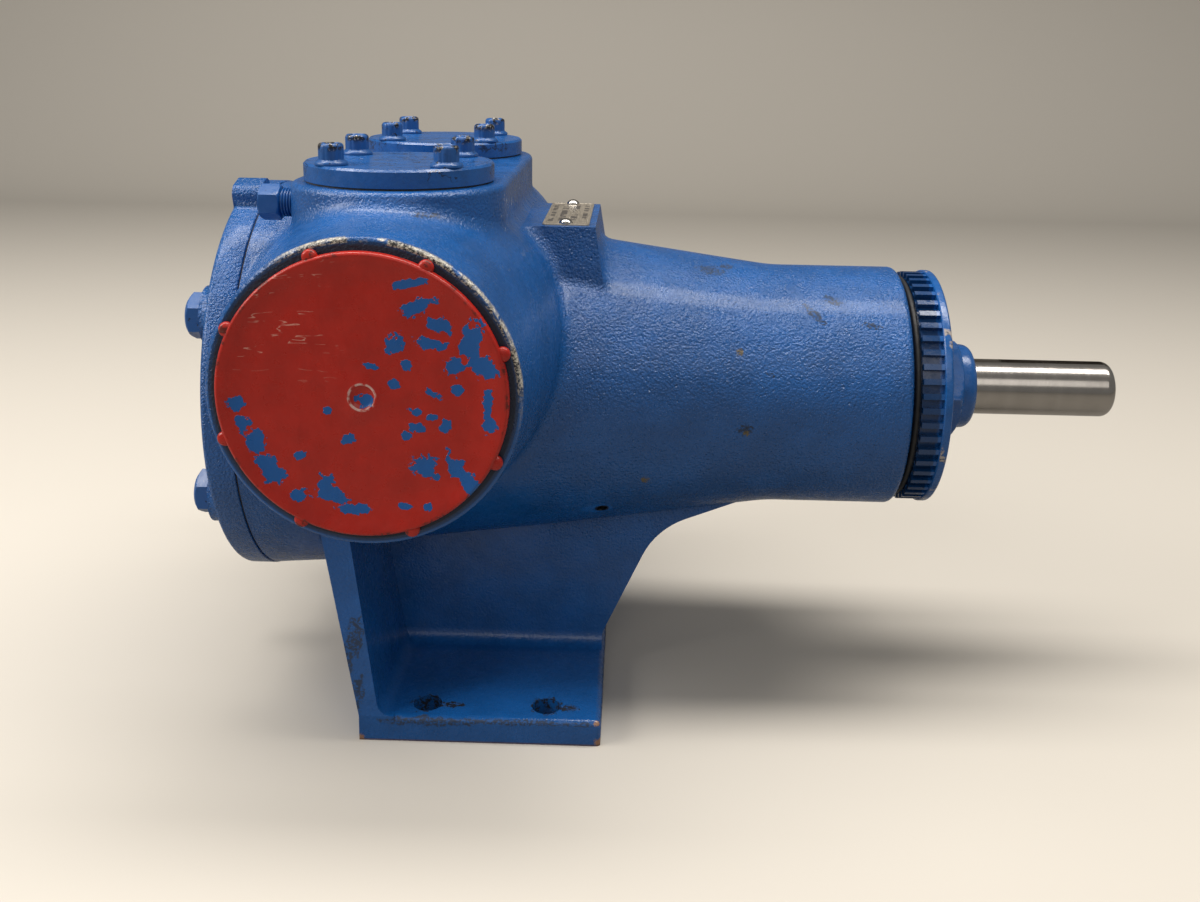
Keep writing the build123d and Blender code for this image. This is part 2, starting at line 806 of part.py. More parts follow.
with BuildPart() as cage:
    ring(bearing_middle - cage_width / 2, bearing_middle + cage_width / 2, cage_inner_r, cage_outer_r)
    for middle, angle in ball_places(port_line_x + bearing_middle):
        outwards = (0, cos(angle), sin(angle))
        with BuildSketch(Plane(origin=(middle[0], 0, shaft_height), z_dir=outwards)) as pocket:
            Circle(ball_r + seat_gap)
        extrude(pocket.sketch, amount=bearing_r, mode=Mode.SUBTRACT)
save(cage, "bearing_cage")

# Threaded bearing housing; its slotted ring sets the rotor's end clearance

housing_shoulder = barrel_end + housing_stand_off
with BuildPart() as housing:
    turned(
        [
            (housing_start, housing_lip_bore_r),
            (housing_start, housing_bore_r - thread_gap),
            (housing_shoulder, housing_bore_r - thread_gap),
            (housing_shoulder, housing_neck_r),
            (ring_start, housing_neck_r),
            (ring_start, ring_r),
            (ring_end, ring_r),
            (ring_end, bearing_r + housing_mouth),
            (ring_end - housing_mouth, bearing_r),
            (bearing_start, bearing_r),
            (bearing_start, housing_lip_bore_r),
        ]
    )
    with BuildSketch(across(ring_start)) as slots:
        with PolarLocations(ring_r, ring_slots):
            Rectangle(2 * slot_depth, slot_width)
    extrude(slots.sketch, amount=ring_end - ring_start, mode=Mode.SUBTRACT)
save(housing, "bearing_housing")

with BuildPart() as dust_ring:
    with BuildSketch(turning_plane) as dust_section:
        with Locations(((housing_shoulder + ring_start) / 2, housing_neck_r + o_ring_r)):
            Circle(o_ring_r)
    revolve(dust_section.sketch, axis=shaft_line)
save(dust_ring, "housing_o_ring")

with BuildPart() as inner_seal:
    inner_seal_end = inner_seal_start + inner_seal_width
    ring(inner_seal_start, inner_seal_end, shaft_body_r + shaft_clearance, inner_seal_r)
save(inner_seal, "inner_lip_seal")

with BuildPart() as washer:
    washer_end = bearing_end + washer_thickness
    ring(bearing_end, washer_end, shaft_nut_r + thread_gap, washer_r)
    with BuildSketch(across(bearing_end)) as tabs:
        with PolarLocations((washer_r + washer_tab_r) / 2, nut_slots):
            Rectangle(washer_tab_r - washer_r + washer_tab_overlap, washer_tab_width)
    extrude(tabs.sketch, amount=washer_thickness)
save(washer, "bearing_lock_washer")

with BuildPart() as lock_nut:
    ring(washer_end, washer_end + nut_thickness, shaft_nut_r + seat_gap, nut_r)
    with BuildSketch(across(washer_end)) as nut_cuts:
        with PolarLocations(nut_r, nut_slots):
            Rectangle(2 * nut_slot_depth, nut_slot_width)
    extrude(nut_cuts.sketch, amount=nut_thickness, mode=Mode.SUBTRACT)
save(lock_nut, "bearing_lock_nut")

# End cap: plate over the slotted ring, spigot down to the bearing, hexagon and rounded nose

with BuildPart() as end_cap:
    with BuildSketch(turning_plane) as cap_profile:
        with BuildLine():
            cap_outline = FilletPolyline(
                (bearing_end, cap_spigot_bore_r),
                (bearing_end, bearing_r - seat_gap),
                (ring_end, bearing_r - seat_gap),
                (ring_end, cap_plate_r),
                (cap_plate_end, cap_plate_r),
                (cap_plate_end, cap_nose_r),
                (cap_nose_end, cap_nose_r),
                (cap_nose_end, cap_nose_bore_r),
                (shaft_seal_end, cap_nose_bore_r),
                (shaft_seal_end, lip_seal_r),
                (lip_seal_bore_start, lip_seal_r),
                (lip_seal_bore_start, cap_spigot_bore_r),
                radius=[
                    machined_edge,
                    machined_edge,
                    cap_plate_rear_edge,
                    cap_plate_edge,
                    machined_edge,
                    cap_nose_edge,
                    machined_edge,
                    machined_edge,
                    machined_edge,
                    machined_edge,
                ],
            )
            Line(cap_outline @ 1, cap_outline @ 0)
        make_face()
    revolve(cap_profile.sketch, axis=shaft_line)
    with BuildSketch(across(cap_plate_end)) as cap_hex:
        RegularPolygon(radius=cap_hex_corner_r, side_count=6)
        Circle(cap_nose_r - cap_hex_overlap, mode=Mode.SUBTRACT)
    extrude(cap_hex.sketch, amount=cap_hex_end - cap_plate_end)
save(end_cap, "bearing_end_cap")

with BuildPart() as lip_seal:
    lip_seal_end = lip_seal_start + lip_seal_width
    ring(lip_seal_start, lip_seal_end, shaft_seal_r + shaft_clearance, lip_seal_r - seat_gap)
save(lip_seal, "outer_lip_seal")

# Round covers over the valve bores, with gaskets and twelve-point flange screws, front and rear

for side, place in ((-1, "front"), (1, "rear")):
    middle = (port_line_x, side * cover_spacing / 2)

    with BuildPart() as cover_seal:
        with BuildSketch(Plane.XY.offset(block_z)) as cover_seal_face:
            with Locations(middle):
                Circle(cover_r - gasket_margin)
                Circle(valve_bore_r, mode=Mode.SUBTRACT)
                with GridLocations(cover_screw_spacing, cover_screw_spacing, 2, 2):
                    Circle(cover_screw_r + thread_gap, mode=Mode.SUBTRACT)
        extrude(cover_seal_face.sketch, amount=cover_gasket)
    save(cover_seal, place + "_cover_gasket")

    with BuildPart() as cover:
        with BuildSketch(Plane.XY.offset(cover_z)) as cover_face:
            with Locations(middle):
                Circle(cover_r)
        extrude(cover_face.sketch, amount=cover_thickness)
        chamfer(cover.edges().filter_by(GeomType.CIRCLE).sort_by(Axis.Z)[-1], cover_edge)
        with BuildSketch(Plane.XY.offset(cover_z)) as cover_holes:
            with Locations(middle):
                with GridLocations(cover_screw_spacing, cover_screw_spacing, 2, 2):
                    Circle(cover_screw_r + thread_gap)
        extrude(cover_holes.sketch, amount=cover_thickness, mode=Mode.SUBTRACT)
    save(cover, place + "_cover_plate")

    with BuildPart() as cover_screws:
        screw_seat = cover_z + cover_thickness
        with BuildSketch(Plane.XY.offset(screw_seat)) as screw_shanks:
            with Locations(middle):
                with GridLocations(cover_screw_spacing, cover_screw_spacing, 2, 2):
                    Circle(cover_screw_r)
        extrude(screw_shanks.sketch, amount=-cover_screw_length)
        with BuildSketch(Plane.XY.offset(screw_seat)) as screw_flanges:
            with Locations(middle):
                with GridLocations(cover_screw_spacing, cover_screw_spacing, 2, 2):
                    Circle(screw_flange_r)
        extrude(screw_flanges.sketch, amount=screw_flange_height, taper=screw_flange_slope)
        with BuildSketch(Plane.XY.offset(screw_seat)) as screw_points:
            with Locations(middle):
                with GridLocations(cover_screw_spacing, cover_screw_spacing, 2, 2):
                    RegularPolygon(radius=screw_point_r, side_count=6)
                    RegularPolygon(radius=screw_point_r, side_count=6, rotation=30)
        extrude(screw_points.sketch, amount=screw_head_height)
    save(cover_screws, place + "_cover_screws")

    with BuildPart() as plug:
        plug_plane = Plane(
            origin=(port_line_x - block_r, side * cover_spacing / 2, shaft_height + plug_rise),
            z_dir=(-1, 0, 0),
        )
        with BuildSketch(plug_plane) as plug_body:
            Circle(plug_thread_r)
        extrude(plug_body.sketch, amount=plug_stand_out)
        extrude(plug_body.sketch, amount=-plug_depth)
        with BuildSketch(plug_plane.offset(plug_stand_out)) as plug_hex:
            RegularPolygon(radius=plug_hex_flats / sqrt(3), side_count=6, rotation=30)
        extrude(plug_hex.sketch, amount=plug_hex_height)
    save(plug, place + "_gauge_plug")

    # Push-in plastic cap: thin dished plate, rolled bead, eight nubs and a short tube into the port
    with BuildPart() as port_cap:
        face_plane = Plane(
            origin=(port_line_x, side * (port_face_y + port_cap_stand_off), port_z),
            x_dir=(1, 0, 0),
            z_dir=(0, side, 0),
        )
        with BuildSketch(face_plane) as cap_disc:
            Circle(port_cap_r)
            with PolarLocations(port_cap_nub_circle_r, port_cap_nubs, start_angle=port_cap_nub_phase):
                Circle(port_cap_nub_r)
        extrude(cap_disc.sketch, amount=port_cap_plate)
        with BuildSketch(face_plane.offset(port_cap_plate)) as cap_bead:
            Circle(port_cap_r - port_cap_bead_inset)
            Circle(port_cap_r - port_cap_bead_inset - port_cap_bead_width, mode=Mode.SUBTRACT)
        extrude(cap_bead.sketch, amount=port_cap_bead, taper=port_cap_bead_slope)
        with BuildSketch(face_plane) as cap_tube:
            Circle(port_thread_r - running_gap)
            Circle(port_thread_r - running_gap - port_cap_wall, mode=Mode.SUBTRACT)
        extrude(cap_tube.sketch, amount=-port_cap_depth)
        with BuildSketch(face_plane.offset(port_cap_plate)) as dimple:
            Circle(port_cap_dimple_r)
        extrude(
            dimple.sketch,
            amount=-port_cap_dimple_depth,
            taper=port_cap_dimple_slope,
            mode=Mode.SUBTRACT,
        )
    save(port_cap, place + "_port_cap")

# Nameplate and the two drive screws that hold it on its pad

with BuildPart() as nameplate:
    with BuildSketch(Plane.XY.offset(pad_z)) as plate_face:
        with Locations((port_line_x + plate_middle, 0)):
            Rectangle(plate_width, plate_length)
            with GridLocations(0, drive_screw_spacing, 1, 2):
                Circle(drive_screw_shank_r + thread_gap, mode=Mode.SUBTRACT)
    extrude(plate_face.sketch, amount=plate_thickness)
save(nameplate, "nameplate")

with BuildPart() as drive_screws:
    plate_z = pad_z + plate_thickness
    for side in (-1, 1):
        screw_plane = Plane(
            origin=(port_line_x + plate_middle, side * drive_screw_spacing / 2, plate_z),
            x_dir=(1, 0, 0),
            z_dir=(0, -1, 0),
        )
        with BuildSketch(screw_plane) as screw_section:
            with BuildLine():
                TangentArc(
                    (0, drive_screw_head_height), (drive_screw_head_r, drive_screw_rim), tangent=(1, 0)
                )
                Polyline(
                    (0, drive_screw_head_height),
                    (0, -drive_screw_length),
                    (drive_screw_shank_r, -drive_screw_length),
                    (drive_screw_shank_r, 0),
                    (drive_screw_head_r, 0),
                    (drive_screw_head_r, drive_screw_rim),
                )
            make_face()
        revolve(screw_section.sketch, axis=Axis(screw_plane.origin, (0, 0, 1)))
save(drive_screws, "nameplate_drive_screws")
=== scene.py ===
import json
from math import atan2, cos, radians, sin, tau

import bmesh
import bpy
from bpy.props import FloatProperty, FloatVectorProperty, IntProperty, PointerProperty
from mathutils import Matrix, Vector

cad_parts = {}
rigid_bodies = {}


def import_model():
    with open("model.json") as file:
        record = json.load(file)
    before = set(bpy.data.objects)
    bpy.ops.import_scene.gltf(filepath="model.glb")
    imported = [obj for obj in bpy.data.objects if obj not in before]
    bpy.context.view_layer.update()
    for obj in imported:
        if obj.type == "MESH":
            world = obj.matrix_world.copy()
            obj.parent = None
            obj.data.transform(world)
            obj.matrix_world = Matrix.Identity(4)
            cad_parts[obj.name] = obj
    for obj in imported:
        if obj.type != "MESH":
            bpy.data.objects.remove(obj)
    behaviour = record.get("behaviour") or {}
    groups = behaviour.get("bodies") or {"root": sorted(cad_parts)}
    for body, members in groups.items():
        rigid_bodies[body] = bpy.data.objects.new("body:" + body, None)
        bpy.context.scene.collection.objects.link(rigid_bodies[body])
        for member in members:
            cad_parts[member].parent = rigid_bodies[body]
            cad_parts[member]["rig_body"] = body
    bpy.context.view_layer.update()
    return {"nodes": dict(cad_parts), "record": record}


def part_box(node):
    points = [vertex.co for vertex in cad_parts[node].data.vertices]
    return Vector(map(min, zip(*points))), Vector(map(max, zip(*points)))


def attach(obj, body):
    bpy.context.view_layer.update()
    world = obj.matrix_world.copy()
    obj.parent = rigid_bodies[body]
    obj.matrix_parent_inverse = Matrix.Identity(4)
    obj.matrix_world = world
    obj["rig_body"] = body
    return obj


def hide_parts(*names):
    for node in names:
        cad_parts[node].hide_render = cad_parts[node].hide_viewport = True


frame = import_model()

bl_info = {
    "name": "Foot-mounted gear pump",
    "version": (1, 0, 0),
    "blender": (4, 5, 0),
    "location": "3D View > Sidebar > Gear pump",
    "description": "Finishes and detailed pieces of a painted gear pump",
    "category": "Object",
}


def middle_of(node):
    """Middle of a node's box."""
    low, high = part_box(node)
    return (low + high) / 2


# Lines that the pieces are placed from, in metres
PORT_X = middle_of("front_cover_plate").x
SHAFT_Z = middle_of("shaft").z
PORT_Z = middle_of("front_port_cap").z
BLOCK_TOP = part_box("front_cover_gasket")[0].z
MM = 0.001

# Sizes of the detailed pieces, in millimetres
CAP_HEIGHT = 3.9
CAP_RIM_R = 58.2
TUBE_R = 43.2
TUBE_DEPTH = 15.9
FIRST_NUB = radians(18.5)
LUG_START = 99.4
LUG_ROUND = 4.4
BOLTS = 6
FIRST_BOLT = radians(27.5)
BOLT_CIRCLE_R = 84.5
BOLT_HEAD = 8.2
BOLT_SHANK_R = 6.3
SCREW_OFFSET = 24.8
SCREW_HEAD = 9.4
SCREW_SHANK = 26
SCREW_SHANK_R = 4.7
SCREW_NECK = 2.4
PLUG_STAND_OUT = 15.6
PLUG_DEPTH = 10
PLUG_ROOT_R = 5.6
PLUG_CREST_R = 6.5
PLUG_THREADS = 4
PLUG_PITCH = 1.3
END_HEX_CORNER_R = 26.7
END_NOSE = 22.8
END_SPIGOT_R = 39.9
END_BEARING_R = 31.2
END_SEAL_R = 20.5
END_BORE_R = 15.1

# Camera that sees the object as the photograph does: metres, millimetres for the lens, radians
CAMERA_PLACE = (0.0641, -0.6042, 0.3240)
CAMERA_PITCH, CAMERA_YAW, CAMERA_ROLL = radians(13.84), -0.0198, 0.0178
CAMERA_LENS, CAMERA_SENSOR = 35.887, 36.0
CAMERA_SHIFT = (-0.00478, -0.0963)

# Lamps: name, place, turn, size and power
LAMPS = (
    ("overhead", (0.1, 0.05, 1.5), (0, 0, 0), (2.4, 0.35), 31),
    ("front_fill", (0.3, -1.6, 1.2), (radians(55), 0, radians(8)), (1.6, 0.8), 5),
    ("left_fill", (-1.5, -0.5, 1.1), (radians(52), 0, radians(-72)), (1.0, 0.8), 20),
)
LAMP_COLOUR = (1.0, 0.96, 0.9)
ROOM_COLOUR = (0.9, 0.88, 0.84, 1)
ROOM_STRENGTH = 0.26

# Floor with a raised back: half width, height of the back and radius between them, in metres.
# The camera sees it pale, while the light that it sends back to the object is that of a duller one.
FLOOR_HALF, FLOOR_BACK, FLOOR_CURVE = 2.2, 2.4, 0.5
FLOOR_SEEN = (0.64, 0.6, 0.54)
FLOOR_BOUNCE = (0.26, 0.245, 0.22)

# Edges that show wear, painted shade and a painted highlight, in metres
PORT_FACE = abs(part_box("front_port_cap")[0].y) - 4.2 * MM
PORT_R = 63.2 * MM
END_RIM_R = (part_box("bearing_end_cap")[1].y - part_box("bearing_end_cap")[0].y) / 2


def spot(*millimetres):
    """A point of the object, given in millimetres."""
    return Vector(millimetres) * MM


# Ragged patches on the casting: middle, half sizes and, for the scuffs, a turn about Y in degrees
SCUFFS = (
    (spot(103.6, -20.7, 214.7), spot(7, 6, 2.2), 8),
    (spot(112.0, -14.0, 215.5), spot(5, 5, 1.5), -10),
    (spot(153.4, -41.1, 197.7), spot(9, 6, 1.8), 38),
    (spot(162.0, -33.5, 203.6), spot(6, 6, 1.6), 20),
    (spot(180.2, -45.0, 193.8), spot(5, 5, 1.2), 10),
    (spot(120.2, -63.1, 146.1), spot(4, 5, 3), 0),
    (spot(132.0, -58.0, 172.0), spot(3, 5, 1), 30),
    (spot(-62.6, -96.3, 46.4), spot(4, 6, 16), 12),
    (spot(-60.0, -99.0, 22.0), spot(3, 6, 10), 5),
    (spot(-23.7, -111.6, 252.4), spot(8, 5, 1.5), 4),
    (spot(20.0, -101.6, 11.0), spot(30, 4, 1.6), 0),
    (spot(-24.0, -101.6, 10.5), spot(22, 4, 2.6), 0),
)
WEEP_HOLE = spot(52.7, -49.5, 99.3)
RUST_SPECKS = (
    (spot(73.5, -61.4, 119.1), 2.2 * MM),
    (spot(116.8, -56.3, 182.4), 1.8 * MM),
    (spot(121.0, -63.1, 144.0), 1.6 * MM),
)
# Near-black patches: two drips on the foot plate beside its front holes, then painted shade inside the foot's
# four bolt holes
HOLE_DRIPS_AND_SHADE = (
    (spot(-17.5, -90.0, 12.7), spot(8, 3.0, 2)),
    (spot(39.0, -90.0, 12.7), spot(6, 2.6, 2)),
    (spot(-28.6, -88.9, 10.0), spot(7.6, 7.6, 8)),
    (spot(28.6, -88.9, 10.0), spot(7.6, 7.6, 8)),
    (spot(-28.6, 88.9, 10.0), spot(7.6, 7.6, 8)),
    (spot(28.6, 88.9, 10.0), spot(7.6, 7.6, 8)),
)
FOOT_CHIPS = (
    (spot(54.0, -100.6, 2.0), 2.2 * MM),
    (spot(53.4, -101.2, 12.0), 1.8 * MM),
    (spot(-58.9, -101.4, 1.0), 2.0 * MM),
)

# Flakes of paint on the front cap, in millimetres from its centre: place, half sizes, turn in degrees
CAP_FLAKES = (
    (-50.1, -4.0, 4.0, 3.2, 0),
    (-47.8, -12.3, 3.4, 4.6, -30),
    (-43.6, -19.0, 4.0, 5.4, -35),
    (-38.0, -31.0, 5.0, 6.5, -40),
    (-26.0, -41.6, 4.2, 2.6, 0),
    (-15.7, -36.8, 3.4, 6.0, 20),
    (-11.5, -41.5, 6.0, 3.4, 30),
    (-6.5, -46.6, 7.5, 2.2, 5),
    (24.5, -28.5, 6.5, 5.4, -20),
    (40.5, -32.5, 3.6, 12.0, -38),
    (16.2, -45.0, 2.4, 1.6, 0),
    (25.4, -45.3, 2.0, 2.0, 0),
    (49.5, -2.0, 2.2, 8.0, 0),
    (50.2, -10.0, 3.4, 3.4, 0),
    (47.5, 13.5, 6.5, 4.6, 20),
    (43.5, 23.5, 3.8, 8.5, 20),
    (36.8, 13.6, 4.0, 4.0, 45),
    (31.5, 30.3, 5.5, 3.4, 30),
    (22.0, 36.5, 7.5, 3.0, -20),
    (27.5, 23.0, 7.0, 3.0, 15),
    (13.1, 22.2, 3.4, 4.6, 0),
    (17.5, 14.0, 2.8, 2.2, 0),
    (4.5, 12.6, 3.2, 2.0, 10),
    (12.6, 5.7, 2.6, 1.8, 0),
    (27.9, 2.0, 3.6, 1.8, 30),
    (38.0, 4.0, 2.2, 2.0, 0),
    (21.0, -5.6, 3.0, 1.8, 0),
    (27.3, -7.2, 2.0, 1.4, 0),
    (21.0, -11.8, 3.0, 2.0, 20),
    (33.0, -10.8, 2.2, 2.4, 0),
    (16.9, -15.4, 2.4, 1.6, 0),
    (-6.2, -17.4, 3.2, 2.2, 0),
    (-25.3, -24.6, 2.4, 1.6, 0),
    (-13.8, -5.2, 1.8, 1.6, 0),
    (19.0, 46.0, 7.0, 1.6, -10),
    (0.7, -1.5, 3.6, 3.0, 0),
)


def along(distance):
    """Place along X, counted in millimetres from the centre line of the ports."""
    return PORT_X + distance * MM


# Sizes and colours that a user would change


class PaintSettings(bpy.types.PropertyGroup):
    colour: FloatVectorProperty(
        name="Paint", description="Colour of the sprayed paint", subtype="COLOR", default=(0.007, 0.088, 0.31)
    )
    scuff: FloatVectorProperty(
        name="Scuff",
        description="Colour of the rubbed and dirty places",
        subtype="COLOR",
        default=(0.015, 0.024, 0.042),
    )
    gloss: FloatProperty(
        name="Roughness",
        description="Roughness of the paint film",
        subtype="FACTOR",
        min=0,
        max=1,
        default=0.27,
    )
    sand: FloatProperty(
        name="Casting grain",
        description="Size of the sand texture under the paint",
        subtype="DISTANCE",
        unit="LENGTH",
        default=1.25 * MM,
    )


class CapSettings(bpy.types.PropertyGroup):
    colour: FloatVectorProperty(
        name="Plastic", description="Colour of the port caps", subtype="COLOR", default=(0.43, 0.016, 0.008)
    )
    bead: FloatProperty(
        name="Rolled rim",
        description="Radius of the bead round a port cap",
        subtype="DISTANCE",
        unit="LENGTH",
        default=1.4 * MM,
    )
    nubs: IntProperty(name="Nubs", description="Grip nubs round a port cap", min=3, default=8)


class FastenerSettings(bpy.types.PropertyGroup):
    bolt_flats: FloatProperty(
        name="Head bolts across flats",
        description="Wrench size of the six bolts in the head",
        subtype="DISTANCE",
        unit="LENGTH",
        default=19.05 * MM,
    )
    screw_points: FloatProperty(
        name="Cover screws across points",
        description="Widest size of a twelve-point head",
        subtype="DISTANCE",
        unit="LENGTH",
        default=11.0 * MM,
    )
    plug_flats: FloatProperty(
        name="Plugs across flats",
        description="Wrench size of the gauge plugs",
        subtype="DISTANCE",
        unit="LENGTH",
        default=14.3 * MM,
    )


class ShaftSettings(bpy.types.PropertyGroup):
    colour: FloatVectorProperty(
        name="Steel", description="Colour of the bare shaft", subtype="COLOR", default=(0.42, 0.395, 0.37)
    )


class PlateSettings(bpy.types.PropertyGroup):
    metal: FloatVectorProperty(
        name="Metal", description="Bare metal of the nameplate", subtype="COLOR", default=(0.48, 0.43, 0.36)
    )
    ink: FloatVectorProperty(
        name="Ink", description="Grey of the printed fields", subtype="COLOR", default=(0.13, 0.12, 0.12)
    )


class PumpSettings(bpy.types.PropertyGroup):
    paint: PointerProperty(type=PaintSettings)
    cap: PointerProperty(type=CapSettings)
    fasteners: PointerProperty(type=FastenerSettings)
    shaft: PointerProperty(type=ShaftSettings)
    plate: PointerProperty(type=PlateSettings)


def settings():
    """The values that the panel shows."""
    return bpy.context.scene.gear_pump


# Finishes: each one is a principled shader with nodes that read Object coordinates


class Finish:
    """One material: its principled shader and the patterns that feed it."""

    def __init__(self, name, colour=None, roughness=None, metallic=0.0, **sockets):
        self.material = bpy.data.materials.new(name)
        self.material.use_nodes = True
        self.nodes = self.material.node_tree.nodes
        self.links = self.material.node_tree.links
        self.shader = self.nodes["Principled BSDF"]
        self.place = self.nodes.new("ShaderNodeTexCoord").outputs["Object"]
        self.shader.inputs["Metallic"].default_value = metallic
        if colour is not None:
            self.shader.inputs["Base Color"].default_value = (*colour, 1.0)
        if roughness is not None:
            self.shader.inputs["Roughness"].default_value = roughness
        for socket, value in sockets.items():
            self.shader.inputs[socket.replace("_", " ")].default_value = value

    def node(self, kind, inputs, output=0, **options):
        """A node with its options and inputs set; sockets are given by name or number."""
        made = self.nodes.new(kind)
        for option, value in options.items():
            setattr(made, option, value)
        for socket, value in inputs.items():
            if isinstance(value, bpy.types.NodeSocket):
                self.links.new(value, made.inputs[socket])
            else:
                made.inputs[socket].default_value = value
        return made.outputs[output]

    def maths(self, operation, a, b=0.0):
        """One step of arithmetic on numbers or sockets."""
        return self.node("ShaderNodeMath", {0: a, 1: b}, operation=operation)

    def times(self, *values):
        """All the values multiplied."""
        total = values[0]
        for value in values[1:]:
            total = self.maths("MULTIPLY", total, value)
        return total

    def either(self, *values):
        """The largest of the values."""
        total = values[0]
        for value in values[1:]:
            total = self.maths("MAXIMUM", total, value)
        return total

    def noise(self, size, detail=2.0, rough=0.5, place=None):
        """Noise from 0 to 1 whose grain is about the given size in metres."""
        inputs = {"Vector": place or self.place, "Scale": 1 / size, "Detail": detail, "Roughness": rough}
        return self.node("ShaderNodeTexNoise", inputs)

    def cells(self, size):
        """Distance pattern of irregular cells of the given size in metres."""
        return self.node("ShaderNodeTexVoronoi", {"Vector": self.place, "Scale": 1 / size})

    def spread(self, value, low, high, first=0.0, last=1.0):
        """value from low to high becomes first to last, smoothly."""
        inputs = {"Value": value, "From Min": low, "From Max": high, "To Min": first, "To Max": last}
        return self.node("ShaderNodeMapRange", inputs, interpolation_type="SMOOTHSTEP")

    def stretched(self, scale, turn=(0, 0, 0)):
        """Object coordinates scaled by axis, for grain that runs one way."""
        inputs = {"Vector": self.place, "Rotation": turn, "Scale": scale}
        return self.node("ShaderNodeMapping", inputs)

    def coordinate(self, axis):
        """One of the X, Y and Z coordinates."""
        return self.node("ShaderNodeSeparateXYZ", {0: self.place}, output="XYZ".index(axis))

    def off_line(self, axis, middle):
        """Distance from a line along the given axis through middle."""
        keep = Vector((1, 1, 1))
        keep["XYZ".index(axis)] = 0
        shifted = self.node("ShaderNodeVectorMath", {0: self.place, 1: middle}, operation="SUBTRACT")
        flat = self.node("ShaderNodeVectorMath", {0: shifted, 1: keep}, operation="MULTIPLY")
        return self.node("ShaderNodeVectorMath", {0: flat}, output="Value", operation="LENGTH")

    def blot(self, middle, size, turn=(0, 0, 0), ragged=0.35):
        """1 inside a ragged ellipsoid, 0 outside it."""
        inputs = {"Vector": self.place, "Location": middle, "Rotation": turn, "Scale": size}
        local = self.node("ShaderNodeMapping", inputs, vector_type="TEXTURE")
        reach = self.node("ShaderNodeVectorMath", {0: local}, output="Value", operation="LENGTH")
        edge = self.noise(max(size) * 0.35, 3.0, 0.6)
        reach = self.maths("ADD", reach, self.spread(edge, 0.3, 0.7, -ragged, ragged))
        return self.spread(reach, 1.0, 0.85)

    def mix(self, share, first, second):
        """Two colours mixed by share."""
        inputs = {"Factor": share, 6: self.full(first), 7: self.full(second)}
        return self.node("ShaderNodeMix", inputs, output=2, data_type="RGBA")

    def full(self, colour):
        """A colour with its alpha, where it isn't a socket."""
        return colour if isinstance(colour, bpy.types.NodeSocket) else (*colour, 1.0)

    def bump(self, height, distance, normal=None):
        """Normals bent by a height pattern of the given depth in metres, on top of other normals."""
        inputs = {"Height": height, "Distance": distance}
        if normal is not None:
            inputs["Normal"] = normal
        return self.node("ShaderNodeBump", inputs)

    def set(self, socket, value):
        """Feed one of the shader's own sockets."""
        if isinstance(value, bpy.types.NodeSocket):
            self.links.new(value, self.shader.inputs[socket])
        else:
            self.shader.inputs[socket].default_value = value

    def lines(self, size, detail, rough, place=None):
        """0 along thin wandering lines, more beside them."""
        return self.maths("ABSOLUTE", self.maths("SUBTRACT", self.noise(size, detail, rough, place), 0.5))


def tint(colour, factor):
    """A colour made lighter or darker."""
    return tuple(min(1.0, part * factor) for part in colour)


def casting_grain(f):
    """Sets the sand texture and returns how strong it is at each place.

    It is strong on cone, barrel, pad and head, and soft round the ports and on the foot.
    """
    sand = settings().paint.sand
    x, z = f.coordinate("X"), f.coordinate("Z")
    rough_end = f.either(f.spread(x, along(50), along(70)), f.spread(x, along(-52), along(-64)))
    upper = f.spread(z, SHAFT_Z - 100 * MM, SHAFT_Z - 70 * MM)
    block = f.times(f.spread(z, BLOCK_TOP - 45 * MM, BLOCK_TOP - 25 * MM), 0.4)
    grain_share = f.maths("ADD", 0.25, f.either(f.times(0.75, rough_end, upper), block))
    lumps = f.noise(sand, 2.0, 0.55)
    pits = f.cells(sand * 1.6)
    waves = f.noise(8 * MM, 2.0)
    lumps_bump = f.bump(f.times(lumps, grain_share), 0.95 * MM)
    pits_bump = f.bump(f.times(f.spread(pits, 0.0, 0.4), grain_share), 0.24 * MM, lumps_bump)
    f.set("Normal", f.bump(waves, 0.25 * MM, pits_bump))
    return grain_share


